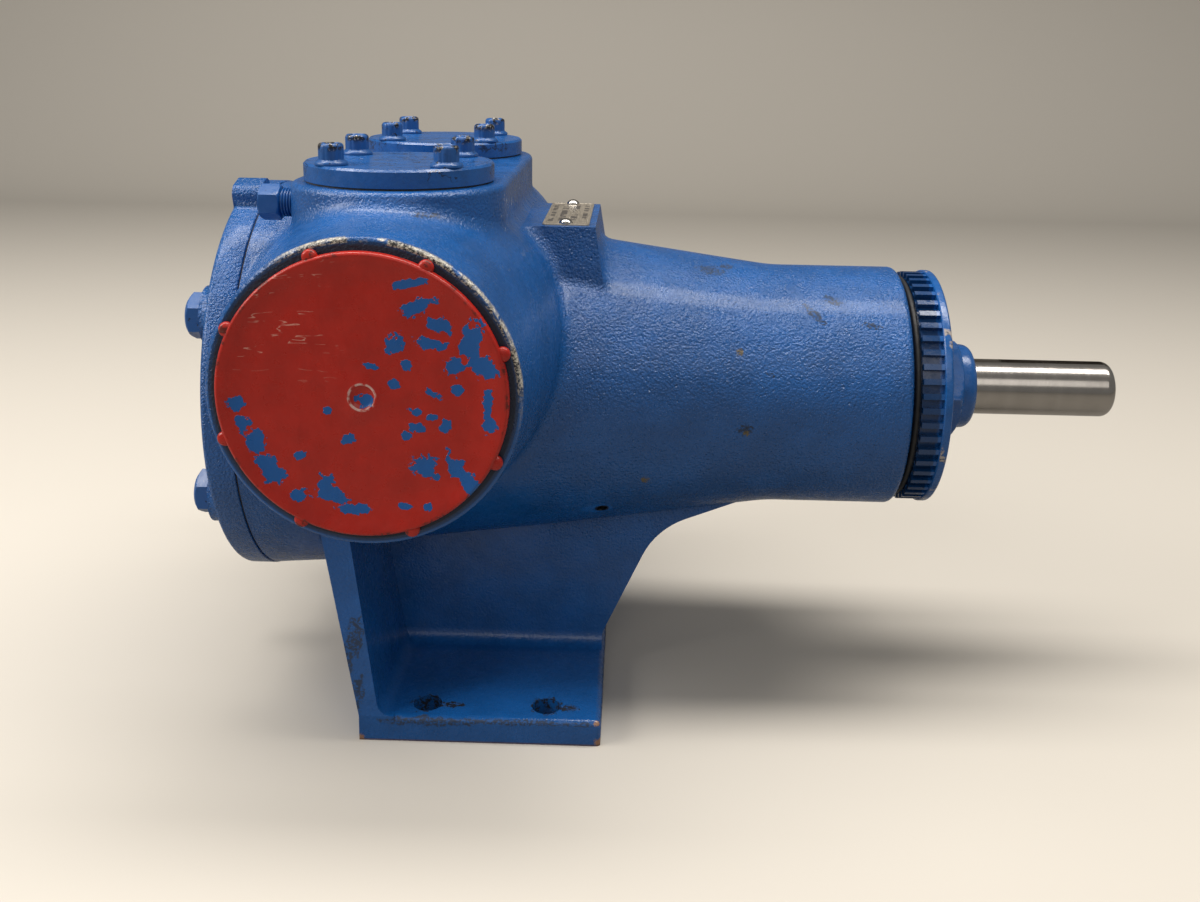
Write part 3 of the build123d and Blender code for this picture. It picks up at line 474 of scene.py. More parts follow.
def port_face_wear_and_shade(f, colour):
    """Painted shade on the port faces and in the gaps beside the caps, lips rubbed bare round the ports, and a
    painted highlight along their upper edge; returns the colour and the painted shade of the gaps.
    """
    paint = settings().paint
    x, y, z = (f.coordinate(axis) for axis in "XYZ")
    front = f.spread(y, -PORT_FACE + 3.2 * MM, -PORT_FACE + 0.6 * MM)
    rear = f.spread(y, PORT_FACE - 3.2 * MM, PORT_FACE - 0.6 * MM)
    face = f.either(front, rear)
    reach = f.off_line("Y", (PORT_X, 0, PORT_Z))
    lip = f.times(f.spread(reach, PORT_R - 2.4 * MM, PORT_R - 1.6 * MM), face)
    slope = f.maths("ADD", z, f.maths("MULTIPLY", x, 0.6))
    upper_side = f.spread(slope, PORT_Z - 5 * MM, PORT_Z + 30 * MM)
    patchy = f.spread(f.noise(12 * MM, 3.0, 0.6), 0.4, 0.52)
    flecks = f.spread(f.noise(1.1 * MM, 3.0, 0.7), 0.46, 0.56)
    # Pale line along the upper side of the port lips' outer edge: bare metal wear, and a painted highlight where
    # the edge faces the overhead light
    worn_edge_and_highlight = f.times(face, upper_side, f.spread(reach, PORT_R - 0.9 * MM, PORT_R - 0.6 * MM))
    broken = f.spread(f.noise(9 * MM, 2.0), 0.42, 0.5)
    worn_edge_and_highlight = f.times(worn_edge_and_highlight, broken, f.spread(flecks, 0.0, 1.0, 0.45, 1.0))
    worn_lip = f.times(lip, patchy, upper_side)
    # Painted shade: the flat port faces round the caps are painted much darker than the rest of the casting
    face_shade = f.times(face, f.spread(reach, PORT_R - 1.0 * MM, PORT_R - 1.8 * MM))
    colour = f.mix(f.times(face_shade, 0.8), colour, tint(paint.colour, 0.25))
    # Painted shade: a near-black ring on the port faces in the gap beside each cap's rim, which is also made
    # rougher
    gap_shade = f.times(face, f.spread(reach, 61.2 * MM, 60.0 * MM))
    colour = f.mix(f.times(gap_shade, 0.8), colour, (0.004, 0.006, 0.012))
    colour = f.mix(worn_lip, colour, f.mix(flecks, (0.012, 0.012, 0.012), (0.5, 0.46, 0.38)))
    colour = f.mix(worn_edge_and_highlight, colour, (0.62, 0.58, 0.5))
    return colour, gap_shade


def weep_hole(f, colour):
    """The weep hole in the barrel's underside, drawn as a near-black blot of painted shade, with the pale rim of
    its spot face.
    """
    paint = settings().paint
    rim = f.blot(WEEP_HOLE - spot(2.5, 0, 0), spot(8.5, 8, 4.4), ragged=0.05)
    colour = f.mix(f.times(rim, 0.45), colour, tint(paint.colour, 1.9))
    # Painted shade: the hole's dark inside is a near-black blot
    weep_hole_shade = f.blot(WEEP_HOLE, spot(3.9, 5, 3.2), ragged=0.04)
    colour = f.mix(weep_hole_shade, colour, (0.003, 0.003, 0.004))
    return colour


def casting_marks(f, colour):
    """Rubbed, rusty and dirty places and painted shade in the foot's bolt holes, each a ragged patch; returns the
    colour and where the shine is gone.
    """
    paint = settings().paint
    z = f.coordinate("Z")
    dirt = f.either(*(f.blot(middle, size, (0, radians(turn), 0)) for middle, size, turn in SCUFFS))
    worn = f.noise(1.3 * MM, 2.0, 0.7)
    colour = f.mix(f.times(dirt, f.spread(worn, 0.4, 0.54), 0.85), colour, paint.scuff)
    rust = f.either(*(f.blot(middle, (size, size, size)) for middle, size in RUST_SPECKS))
    colour = f.mix(f.times(rust, f.spread(worn, 0.35, 0.5)), colour, (0.13, 0.105, 0.06))
    # Near-black: drips beside two holes, and painted shade in the foot's bolt holes
    drips_and_hole_shade = f.either(*(f.blot(middle, size) for middle, size in HOLE_DRIPS_AND_SHADE))
    colour = f.mix(f.times(drips_and_hole_shade, f.spread(worn, 0.4, 0.5)), colour, (0.004, 0.004, 0.005))
    chips = f.either(*(f.blot(middle, (size, size, size)) for middle, size in FOOT_CHIPS))
    colour = f.mix(chips, colour, (0.3, 0.16, 0.1))
    sole = f.spread(z, 1.1 * MM, 0.5 * MM)
    colour = f.mix(f.times(sole, 0.7), colour, (0.11, 0.055, 0.03))
    return colour, f.either(dirt, drips_and_hole_shade, rust)


def cast_paint():
    """Sprayed enamel over a sand casting, with rubbed edges, scuffs and drips, and painted shade in its holes and
    round the port caps.
    """
    paint = settings().paint
    f = Finish("cast_paint", Coat_Weight=0.2, Coat_Roughness=0.15)
    grain_share = casting_grain(f)
    film = f.spread(f.noise(22 * MM, 4.0, 0.6), 0.3, 0.7)
    colour = f.mix(film, tint(paint.colour, 0.88), tint(paint.colour, 1.12))
    speck = f.spread(f.noise(0.9 * MM, 1.0), 0.66, 0.78)
    colour = f.mix(f.times(speck, grain_share, 0.4), colour, tint(paint.colour, 0.3))
    colour, gap_shade = port_face_wear_and_shade(f, colour)
    colour = weep_hole(f, colour)
    colour, marks = casting_marks(f, colour)
    f.set("Base Color", colour)
    dull_film = f.spread(f.noise(6 * MM, 3.0), 0.35, 0.75, paint.gloss - 0.06, paint.gloss + 0.12)
    f.set("Roughness", f.either(dull_film, f.times(f.either(marks, gap_shade), 0.7)))
    return f.material


def part_paint():
    """The same enamel on turned and bought pieces, without the casting grain, and with painted shade on the
    slotted ring.
    """
    paint = settings().paint
    f = Finish("part_paint", Coat_Weight=0.2, Coat_Roughness=0.15)
    film = f.spread(f.noise(9 * MM, 3.0, 0.6), 0.3, 0.7)
    colour = f.mix(film, tint(paint.colour, 0.9), tint(paint.colour, 1.1))
    x, z = f.coordinate("X"), f.coordinate("Z")

    # Rim of the end cap: paint rubbed through to the primer and the steel
    reach = f.off_line("X", (0, 0, SHAFT_Z))
    rim = f.spread(reach, END_RIM_R - 1.3 * MM, END_RIM_R - 0.7 * MM)
    plate = f.spread(x, along(254.8), along(255.4))
    patchy = f.spread(f.noise(16 * MM, 4.0, 0.6), 0.54, 0.6)
    flecks = f.spread(f.noise(2.0 * MM, 3.0, 0.7), 0.4, 0.5)
    bare = f.mix(flecks, tint(paint.scuff, 0.8), (0.4, 0.35, 0.32))
    colour = f.mix(f.times(rim, plate, patchy), colour, bare)

    # Slotted ring behind it: painted shade makes the whole ring, teeth and slots, darker
    ring = f.times(f.spread(x, along(253.4), along(252.6)), f.spread(x, along(230), along(232)))
    colour = f.mix(f.times(ring, 0.75), colour, tint(paint.colour, 0.22))

    # Covers: thin dark scratches that wander over their tops
    top = f.spread(z, BLOCK_TOP + 2 * MM, BLOCK_TOP + 5 * MM)
    there = f.spread(f.noise(24 * MM, 1.0), 0.46, 0.5)
    scribble = f.times(f.spread(f.lines(14 * MM, 4.0, 0.65), 0.016, 0.008), there)
    colour = f.mix(f.times(top, scribble, 0.85), colour, tint(paint.colour, 0.12))
    f.set("Base Color", colour)
    f.set("Roughness", f.spread(f.noise(4 * MM), 0.3, 0.7, paint.gloss - 0.05, paint.gloss + 0.1))
    f.set("Normal", f.bump(f.noise(2.2 * MM, 2.0), 0.18 * MM))
    return f.material


def fastener_paint():
    """Painted screws with the steel bare and dark along their top edges."""
    paint = settings().paint
    f = Finish("fastener_paint", Coat_Weight=0.2, Coat_Roughness=0.15)
    crown = f.spread(f.coordinate("Z"), BLOCK_TOP + 13.5 * MM, BLOCK_TOP + 17 * MM)
    chipped = f.spread(f.noise(4.5 * MM, 3.0, 0.7), 0.5, 0.54)
    chipped = f.either(f.times(crown, chipped), f.spread(f.noise(3.5 * MM, 3.0, 0.7), 0.64, 0.68))
    flecks = f.spread(f.noise(1.2 * MM, 2.0, 0.6), 0.56, 0.62)
    steel = f.mix(flecks, (0.012, 0.012, 0.013), (0.34, 0.31, 0.28))
    colour = f.mix(chipped, tint(paint.colour, 0.95), steel)
    f.set("Base Color", colour)
    f.set("Metallic", f.times(chipped, 0.5))
    f.set("Roughness", f.spread(f.noise(3 * MM), 0.3, 0.7, 0.3, 0.46))
    f.set("Normal", f.bump(f.noise(1.5 * MM, 2.0), 0.1 * MM))
    return f.material


def cap_wear(f, colour):
    """Hairline scratches at the upper left, a pale ring round the dimple and grime at the rim."""
    waved = f.stretched((0.16, 1, 1), (0, radians(12), 0))
    there = f.times(
        f.spread(f.coordinate("X"), PORT_X - 2 * MM, PORT_X - 22 * MM),
        f.spread(f.coordinate("Z"), PORT_Z + 2 * MM, PORT_Z + 16 * MM),
        f.spread(f.noise(6 * MM, 1.0), 0.5, 0.58),
    )
    scratch = f.times(f.spread(f.lines(7 * MM, 3.0, 0.6, waved), 0.012, 0.004), there)
    colour = f.mix(f.times(scratch, 0.6), colour, (0.75, 0.42, 0.34))
    reach = f.off_line("Y", (PORT_X, 0, PORT_Z))
    ring = f.times(f.spread(reach, 4.7 * MM, 5.1 * MM), f.spread(reach, 6.1 * MM, 5.6 * MM))
    colour = f.mix(f.times(ring, f.spread(f.noise(4 * MM), 0.42, 0.55), 0.7), colour, (0.7, 0.55, 0.5))
    patchy = f.spread(f.noise(5 * MM, 4.0, 0.7), 0.54, 0.62)
    edge_grime = f.times(f.spread(reach, 56.0 * MM, 57.6 * MM), patchy)
    return f.mix(f.times(edge_grime, 0.75), colour, (0.02, 0.008, 0.005))


def cap_overspray(f):
    """1 where blue overspray stayed on the front cap when the rest flaked off; a noise makes its edges jagged."""
    jag = f.noise(4.5 * MM, 3.0, 0.6)
    fine = f.noise(1.6 * MM, 2.0, 0.6)
    edge = f.maths("ADD", f.spread(jag, 0.25, 0.75, -0.5, 0.5), f.spread(fine, 0.25, 0.75, -0.12, 0.12))
    flakes = []
    for across, up, half_wide, half_high, turn in CAP_FLAKES:
        inputs = {
            "Vector": f.place,
            "Location": (PORT_X + across * MM, 0, PORT_Z + up * MM),
            "Rotation": (0, radians(turn), 0),
            "Scale": (half_wide * MM, 1, half_high * MM),
        }
        local = f.node("ShaderNodeMapping", inputs, vector_type="TEXTURE")
        flakes.append(f.node("ShaderNodeVectorMath", {0: local}, output="Value", operation="LENGTH"))
    nearest = flakes[0]
    for reach in flakes[1:]:
        nearest = f.maths("MINIMUM", nearest, reach)
    flake = f.spread(f.maths("ADD", nearest, edge), 1.0, 0.94)
    return f.times(flake, f.spread(f.coordinate("Y"), 0.01, -0.01))


def cap_plastic():
    """Moulded plastic cap with flakes of overspray left on it, and hairline scratches."""
    cap = settings().cap
    paint = settings().paint
    f = Finish("cap_plastic", Subsurface_Weight=0.04, IOR=1.46)
    f.set("Subsurface Radius", (0.004, 0.001, 0.0005))
    soft = f.spread(f.noise(14 * MM, 3.0), 0.3, 0.7)
    colour = cap_wear(f, f.mix(soft, tint(cap.colour, 0.92), tint(cap.colour, 1.08)))
    flake = cap_overspray(f)
    f.set("Base Color", f.mix(flake, colour, tint(paint.colour, 1.15)))
    f.set("Roughness", f.spread(f.noise(5 * MM, 3.0), 0.3, 0.7, 0.26, 0.4))
    film = f.bump(flake, 0.12 * MM)
    f.set("Normal", f.bump(f.noise(9 * MM, 3.0, 0.5), 0.6 * MM, film))
    return f.material


def ground_steel():
    """Bare shaft steel with fine turning rings."""
    f = Finish("ground_steel", metallic=1.0)
    rings = f.noise(0.5 * MM, 3.0, 0.6, f.stretched((1, 0.002, 0.002)))
    bands = f.noise(9 * MM, 2.0, 0.5, f.stretched((1, 0.01, 0.01)))
    stain = f.spread(f.noise(9 * MM, 4.0, 0.6), 0.5, 0.75)
    steel = settings().shaft.colour
    colour = f.mix(f.spread(bands, 0.3, 0.7), tint(steel, 0.95), tint(steel, 1.05))
    f.set("Base Color", f.mix(f.times(stain, 0.2), colour, tint(steel, 0.6)))
    f.set("Roughness", f.spread(rings, 0.3, 0.7, 0.17, 0.22))
    f.set("Normal", f.bump(rings, 0.002 * MM))
    return f.material


def nameplate_metal():
    """Satin plate with rows of plain grey fields printed on it."""
    plate = settings().plate
    f = Finish("nameplate_metal", metallic=0.75)
    low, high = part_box("nameplate")
    grain = f.noise(0.4 * MM, 3.0, 0.6, f.stretched((1, 0.05, 1)))
    metal_colour = f.mix(f.spread(grain, 0.3, 0.7), tint(plate.metal, 0.85), tint(plate.metal, 1.12))
    share = f.maths("DIVIDE", f.maths("SUBTRACT", f.coordinate("X"), low.x), high.x - low.x)
    row = f.maths("PINGPONG", f.times(share, 4), 0.5)
    line = f.spread(row, 0.2, 0.24)
    blocks = f.spread(f.noise(5 * MM, 1.0, 0.5, f.stretched((0.6, 1, 1))), 0.47, 0.49)
    inside = f.times(f.spread(share, 0.08, 0.1), f.spread(share, 0.92, 0.9))
    ends = f.spread(f.maths("ABSOLUTE", f.coordinate("Y")), 29.5 * MM, 29 * MM)
    ink = f.times(line, blocks, inside, ends)
    f.set("Base Color", f.mix(f.times(ink, 0.85), metal_colour, plate.ink))
    f.set("Roughness", f.spread(grain, 0.3, 0.7, 0.32, 0.46))
    return f.material


def metal(name, colour, roughness, grain=1.5 * MM, depth=0.04 * MM):
    """A bare metal with light variation."""
    f = Finish(name, metallic=1.0)
    cloud = f.spread(f.noise(grain * 6, 4.0, 0.6), 0.3, 0.7)
    fine = f.noise(grain, 3.0, 0.6)
    f.set("Base Color", f.mix(cloud, tint(colour, 0.85), tint(colour, 1.1)))
    f.set("Roughness", f.spread(fine, 0.3, 0.7, roughness - 0.06, roughness + 0.08))
    f.set("Normal", f.bump(fine, depth))
    return f.material


def dull(name, colour, roughness, grain=1.0 * MM, depth=0.06 * MM):
    """A material without metal shine, such as rubber, fibre, carbon or ceramic."""
    f = Finish(name)
    cloud = f.spread(f.noise(grain * 8, 4.0, 0.6), 0.3, 0.7)
    f.set("Base Color", f.mix(cloud, tint(colour, 0.8), tint(colour, 1.2)))
    f.set("Roughness", f.spread(f.noise(grain * 2, 2.0), 0.3, 0.7, roughness - 0.05, roughness + 0.07))
    f.set("Normal", f.bump(f.noise(grain, 3.0), depth))
    return f.material


FINISHES = {
    "blue_painted_iron": cast_paint,
    "blue_painted_steel": part_paint,
    "blue_painted_fasteners": fastener_paint,
    "gasket_fibre": lambda: dull("gasket_fibre", (0.06, 0.05, 0.04), 0.85),
    "ground_steel": ground_steel,
    "machined_iron": lambda: metal("machined_iron", (0.3, 0.29, 0.28), 0.42),
    "bronze": lambda: metal("bronze", (0.55, 0.34, 0.14), 0.35),
    "carbon": lambda: dull("carbon", (0.02, 0.02, 0.022), 0.4),
    "ceramic": lambda: dull("ceramic", (0.72, 0.7, 0.65), 0.25),
    "plain_steel": lambda: metal("plain_steel", (0.38, 0.37, 0.36), 0.4),
    "bright_steel": lambda: metal("bright_steel", (0.66, 0.64, 0.61), 0.18, depth=0.02 * MM),
    "pressed_brass": lambda: metal("pressed_brass", (0.62, 0.45, 0.16), 0.32),
    "black_rubber": lambda: dull("black_rubber", (0.012, 0.012, 0.013), 0.55),
    "red_plastic": cap_plastic,
    "nameplate_metal": nameplate_metal,
}
made_finishes = {}


def finish(slot):
    """The material of one of the record's slots, made at its first use."""
    if slot not in made_finishes:
        made_finishes[slot] = FINISHES[slot]()
    return made_finishes[slot]


def slot_of(node):
    """Name of the record's slot that a node takes its finish from."""
    for entry in frame["record"]["subparts"]:
        if entry["node"] == node:
            return entry["material_slot"]
    raise RuntimeError("no material slot holds " + node)


def body_of(node):
    """Name of the body that carries a node."""
    return frame["nodes"][node]["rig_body"]


# Shared steps of the pieces

ROUNDING = {"offset_type": "OFFSET", "affect": "EDGES", "profile": 0.5, "material": -1}


def new_piece(name, mesh, body, slot, replaced=(), smooth=35):
    """Turns a bmesh into a piece that rides on its body."""
    data = bpy.data.meshes.new(name)
    mesh.to_mesh(data)
    mesh.free()
    piece = bpy.data.objects.new(name, data)
    bpy.context.scene.collection.objects.link(piece)
    for face in data.polygons:
        face.use_smooth = True
    data.set_sharp_from_angle(angle=radians(smooth))
    data.materials.append(finish(slot))
    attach(piece, body)
    if replaced:
        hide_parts(*replaced)
    return piece


def spun(mesh, profile, middle, axis, side, steps):
    """Spins a closed profile, given in mm as (place along the axis, radius), round a line through middle.

    side is the direction in which the first copy of the profile stands.
    """
    middle, direction, side = Vector(middle), Vector(axis), Vector(side)
    verts = [mesh.verts.new(middle + (direction * place + side * radius) * MM) for place, radius in profile]
    edges = [mesh.edges.new(pair) for pair in zip(verts, verts[1:] + verts[:1])]
    bmesh.ops.spin(mesh, geom=verts + edges, cent=middle, axis=direction, angle=tau, steps=steps, use_merge=True)


def closed(mesh):
    """Welds the seams and poles of spun pieces and turns their faces outwards."""
    bmesh.ops.remove_doubles(mesh, verts=mesh.verts, dist=0.001 * MM)
    bmesh.ops.recalc_face_normals(mesh, faces=mesh.faces)


def arc(middle, radius, start, end, steps=6):
    """Points of a round corner in a profile; angles in degrees from the axis towards the radius."""
    place, height = middle
    for step in range(steps + 1):
        angle = radians(start + (end - start) * step / steps)
        yield (place + radius * cos(angle), height + radius * sin(angle))


def take_flats(verts, middle, axis, side, across, points):
    """Brings every vertex that stands outside a 6 or 12 point outline in to that outline."""
    middle, direction, side = Vector(middle), Vector(axis), Vector(side)
    other = direction.cross(side)
    share = tau / points
    for vert in verts:
        out = vert.co - middle
        height = out.dot(direction)
        x, y = out.dot(side), out.dot(other)
        radius = (x * x + y * y) ** 0.5
        turn = atan2(y, x) % share
        if points == 12:
            limit = across / 2 / cos(max(turn, share - turn))
        else:
            limit = across / 2 / cos(turn - share / 2)
        if radius > limit:
            vert.co = middle + direction * height + (side * x + other * y) * (limit / radius)


class GEARPUMP_OT_stage(bpy.types.Operator):
    """Camera, lamps, floor and backdrop"""

    bl_idname = "gear_pump.stage"
    bl_label = "Stage"

    def execute(self, context):
        scene = context.scene
        self.camera(scene)
        for lamp in LAMPS:
            self.lamp(scene, *lamp)
        self.floor(scene)
        world = bpy.data.worlds.new("room")
        world.use_nodes = True
        background = world.node_tree.nodes["Background"]
        background.inputs["Color"].default_value = ROOM_COLOUR
        background.inputs["Strength"].default_value = ROOM_STRENGTH
        scene.world = world
        scene.view_settings.view_transform = "Standard"
        return {"FINISHED"}

    def camera(self, scene):
        pitch, yaw, roll = CAMERA_PITCH, CAMERA_YAW, CAMERA_ROLL
        right = Vector((cos(yaw), -sin(yaw), 0))
        ahead = Vector((sin(yaw) * cos(pitch), cos(yaw) * cos(pitch), -sin(pitch)))
        up = Vector((sin(yaw) * sin(pitch), cos(yaw) * sin(pitch), cos(pitch)))
        across = right * cos(roll) + up * sin(roll)
        upward = up * cos(roll) - right * sin(roll)
        data = bpy.data.cameras.new("camera")
        data.lens = CAMERA_LENS
        data.sensor_width = CAMERA_SENSOR
        data.shift_x, data.shift_y = CAMERA_SHIFT
        camera = bpy.data.objects.new("camera", data)
        turn = Matrix((across, upward, -ahead)).transposed().to_4x4()
        camera.matrix_world = Matrix.Translation(CAMERA_PLACE) @ turn
        scene.collection.objects.link(camera)
        scene.camera = camera

    def lamp(self, scene, name, place, turn, size, power):
        data = bpy.data.lights.new(name, "AREA")
        data.shape = "RECTANGLE"
        data.size, data.size_y = size
        data.energy = power
        data.color = LAMP_COLOUR
        lamp = bpy.data.objects.new(name, data)
        lamp.location = place
        lamp.rotation_euler = turn
        scene.collection.objects.link(lamp)

    def floor(self, scene):
        mesh = bmesh.new()
        bmesh.ops.create_grid(mesh, x_segments=1, y_segments=1, size=FLOOR_HALF)
        back = [edge for edge in mesh.edges if all(vert.co.y > 0.9 * FLOOR_HALF for vert in edge.verts)]
        raised = bmesh.ops.extrude_edge_only(mesh, edges=back)["geom"]
        raised = [made for made in raised if isinstance(made, bmesh.types.BMVert)]
        bmesh.ops.translate(mesh, vec=(0, 0, FLOOR_BACK), verts=raised)
        bmesh.ops.bevel(mesh, geom=back, offset=FLOOR_CURVE, segments=12, **ROUNDING)
        data = bpy.data.meshes.new("floor")
        mesh.to_mesh(data)
        mesh.free()
        for face in data.polygons:
            face.use_smooth = True
        floor = bpy.data.objects.new("floor", data)
        f = Finish("floor", roughness=0.6)
        seen = f.node("ShaderNodeLightPath", {}, output="Is Camera Ray")
        f.set("Base Color", f.mix(seen, FLOOR_BOUNCE, FLOOR_SEEN))
        data.materials.append(f.material)
        scene.collection.objects.link(floor)


class GEARPUMP_OT_cad_finishes(bpy.types.Operator):
    """Finishes on the pieces that are shown as the frame brings them"""

    bl_idname = "gear_pump.cad_finishes"
    bl_label = "Finishes on the frame's own pieces"

    def execute(self, context):
        for name, node in frame["nodes"].items():
            material = finish(slot_of(name))
            for place in node.material_slots:
                place.material = material
            if not node.material_slots:
                node.data.materials.append(material)
        return {"FINISHED"}


class GEARPUMP_OT_head(bpy.types.Operator):
    """Pump head with its cast lug rounded off"""

    bl_idname = "gear_pump.head"
    bl_label = "Head"

    def execute(self, context):
        mesh = bmesh.new()
        mesh.from_mesh(frame["nodes"]["head"].data)
        bmesh.ops.remove_doubles(mesh, verts=mesh.verts, dist=0.002 * MM)
        flat = {"angle_limit": radians(1), "use_dissolve_boundaries": False, "delimit": {"NORMAL"}}
        bmesh.ops.dissolve_limit(mesh, verts=mesh.verts, edges=mesh.edges, **flat)
        lug = [edge for edge in mesh.edges if self.on_lug(edge)]
        bmesh.ops.bevel(mesh, geom=lug, offset=LUG_ROUND * MM, segments=5, clamp_overlap=True, **ROUNDING)
        closed(mesh)
        new_piece("head_with_lug", mesh, body_of("head"), "blue_painted_iron", ("head",), 35)
        return {"FINISHED"}

    def on_lug(self, edge):
        """Whether an edge is one of the sharp ones of the lug, which stands out above the head's rim."""
        reach = max((vert.co.yz - Vector((0, SHAFT_Z))).length for vert in edge.verts)
        return (
            len(edge.link_faces) == 2
            and edge.calc_face_angle() > radians(40)
            and min(vert.co.z for vert in edge.verts) > SHAFT_Z + (LUG_START - 1.5) * MM
            and reach > (LUG_START + 2) * MM
        )


class GEARPUMP_OT_port_caps(bpy.types.Operator):
    """Push-in plastic caps: dished plate, rolled rim, nubs, centre dimple and tube"""

    bl_idname = "gear_pump.port_caps"
    bl_label = "Port caps"

    def execute(self, context):
        for node, way in (("front_port_cap", -1), ("rear_port_cap", 1)):
            low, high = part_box(node)
            face = max(low.y * way, high.y * way) - CAP_HEIGHT * MM
            middle = (PORT_X, way * face, PORT_Z)
            mesh = bmesh.new()
            self.disc(mesh, middle, way)
            self.nubs(mesh, middle, way)
            closed(mesh)
            new_piece(node + "_moulding", mesh, body_of(node), "red_plastic", (node,), 40)
        return {"FINISHED"}

    def disc(self, mesh, middle, way):
        """Thin plate that sinks slightly to its middle, with a bead rolled round it and a tube behind."""
        bead = settings().cap.bead / MM
        crest = CAP_HEIGHT - bead
        dimple = [(1.2, 0), (1.2, 3.2), (1.5, 4.2), (2.3, 4.9), (2.6, 5.4), (2.5, 6.1), (2.2, 7.0)]
        plate = [(2.2 + 0.08 * step, 16.0 + 9.0 * step) for step in range(4)]
        roll = arc((crest, CAP_RIM_R - bead), bead, 160, 0, 5)
        lip = arc((crest, CAP_RIM_R - bead), bead, 0, 90, 5)
        skirt = [(0.6, CAP_RIM_R), (0.1, CAP_RIM_R - 0.5), (0.1, TUBE_R)]
        tube = [(1.5 - TUBE_DEPTH, TUBE_R - 0.3), (-TUBE_DEPTH, TUBE_R - 0.9), (-TUBE_DEPTH, TUBE_R - 1.9)]
        tube += [(0.8, TUBE_R - 2.2), (0.8, 0)]
        inner_root = [(2.5, CAP_RIM_R - 2 * bead - 1.4)]
        profile = dimple + plate + inner_root
        profile += [(place, radius) for place, radius in roll if radius < CAP_RIM_R - bead]
        profile += list(lip) + skirt + tube
        spun(mesh, profile, middle, (0, way, 0), (1, 0, 0), 144)

    def nubs(self, mesh, middle, way):
        """Rounded lugs that stand out from the rim."""
        count = settings().cap.nubs
        profile = [(0.3, 0), (0.3, 2.6), (0.8, 3.1), (1.9, 3.1), (2.7, 2.7), (3.1, 2.0), (3.25, 0)]
        for turn in range(count):
            angle = FIRST_NUB + tau * turn / count
            out = Vector((cos(angle), 0, sin(angle))) * (CAP_RIM_R + 0.3) * MM
            spun(mesh, profile, Vector(middle) + out, (0, way, 0), (1, 0, 0), 24)


class GEARPUMP_OT_head_bolts(bpy.types.Operator):
    """Six hexagon bolts in the head, with washer faces and chamfered crowns"""

    bl_idname = "gear_pump.head_bolts"
    bl_label = "Head bolts"

    def execute(self, context):
        low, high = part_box("head_cap_screws")
        flats = settings().fasteners.bolt_flats / MM
        seat = low.x + BOLT_HEAD * MM
        profile = self.profile(flats, (high.x - seat) / MM)
        mesh = bmesh.new()
        for turn in range(BOLTS):
            angle = FIRST_BOLT + tau * turn / BOLTS
            across, up = BOLT_CIRCLE_R * cos(angle) * MM, BOLT_CIRCLE_R * sin(angle) * MM
            middle = Vector((seat, across, SHAFT_Z + up))
            spun(mesh, profile, middle, (-1, 0, 0), (0, 0, 1), 48)
            heads = [vert for vert in mesh.verts if (vert.co - middle).length < 16 * MM and vert.co.x < seat]
            take_flats(heads, middle, (-1, 0, 0), (0, 0, 1), flats * MM, 6)
        closed(mesh)
        body = body_of("head_cap_screws")
        new_piece("head_bolts", mesh, body, "blue_painted_fasteners", ("head_cap_screws",), 30)
        return {"FINISHED"}

    def profile(self, flats, shank):
        """Shank, washer face and head of one bolt, before its flats are taken."""
        corner = flats / 2 / cos(radians(30))
        crown = BOLT_HEAD - 2.0
        cut = corner - flats / 2 + 0.9
        profile = [(-shank, 0), (-shank, BOLT_SHANK_R - 0.7), (0.8 - shank, BOLT_SHANK_R), (0, BOLT_SHANK_R)]
        profile += [(0, flats / 2 - 0.6), (0.5, flats / 2 - 0.5), (0.6, flats / 2)]
        profile += [(0.7, corner - 0.6), (1.2, corner)]
        profile += [(crown + 1.6 * step / 6, corner - cut * step / 6) for step in range(7)]
        profile += [(BOLT_HEAD - 0.1, flats / 2 - 1.3), (BOLT_HEAD, flats / 2 - 1.9), (BOLT_HEAD, 0)]
        return profile


class GEARPUMP_OT_cover_screws(bpy.types.Operator):
    """Twelve-point flange screws in the two covers"""

    bl_idname = "gear_pump.cover_screws"
    bl_label = "Cover screws"

    def execute(self, context):
        corner = settings().fasteners.screw_points / MM / 2
        flats = 2 * corner * cos(radians(23))
        profile = self.profile(corner)
        for node in ("front_cover_screws", "rear_cover_screws"):
            centre = middle_of(node)
            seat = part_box(node)[1].z - SCREW_HEAD * MM
            mesh = bmesh.new()
            for way_x in (-1, 1):
                for way_y in (-1, 1):
                    off = Vector((way_x, way_y, 0)) * SCREW_OFFSET * MM
                    middle = Vector((centre.x, centre.y, seat)) + off
                    spun(mesh, profile, middle, (0, 0, 1), (1, 0, 0), 72)
                    head = [vert for vert in mesh.verts if (vert.co - middle).length < 14 * MM]
                    head = [vert for vert in head if vert.co.z > seat + SCREW_NECK * MM]
                    take_flats(head, middle, (0, 0, 1), (1, 0, 0), flats * MM, 12)
            closed(mesh)
            name = node.replace("cover_screws", "flange_screws")
            new_piece(name, mesh, body_of(node), "blue_painted_fasteners", (node,), 30)
        return {"FINISHED"}

    def profile(self, corner):
        """Shank, flange and dished head of one screw, before its points are cut."""
        shank, neck = SCREW_SHANK, SCREW_NECK
        profile = [(-shank, 0), (-shank, SCREW_SHANK_R - 0.5), (0.6 - shank, SCREW_SHANK_R), (0, SCREW_SHANK_R)]
        profile += [(0, 6.9), (0.25, 7.15), (0.9, 7.15), (1.4, 6.9), (2.0, 6.0)]
        profile += [(neck, corner + 0.1), (neck + 0.05, corner), (5.0, corner), (7.8, corner)]
        profile += [(8.4, corner - 0.15), (8.9, corner - 0.5), (9.3, corner - 1.1), (9.35, corner - 1.6)]
        profile += [(9.0, corner - 1.9), (8.5, corner - 2.3), (8.3, corner - 3.2), (8.3, 0)]
        return profile


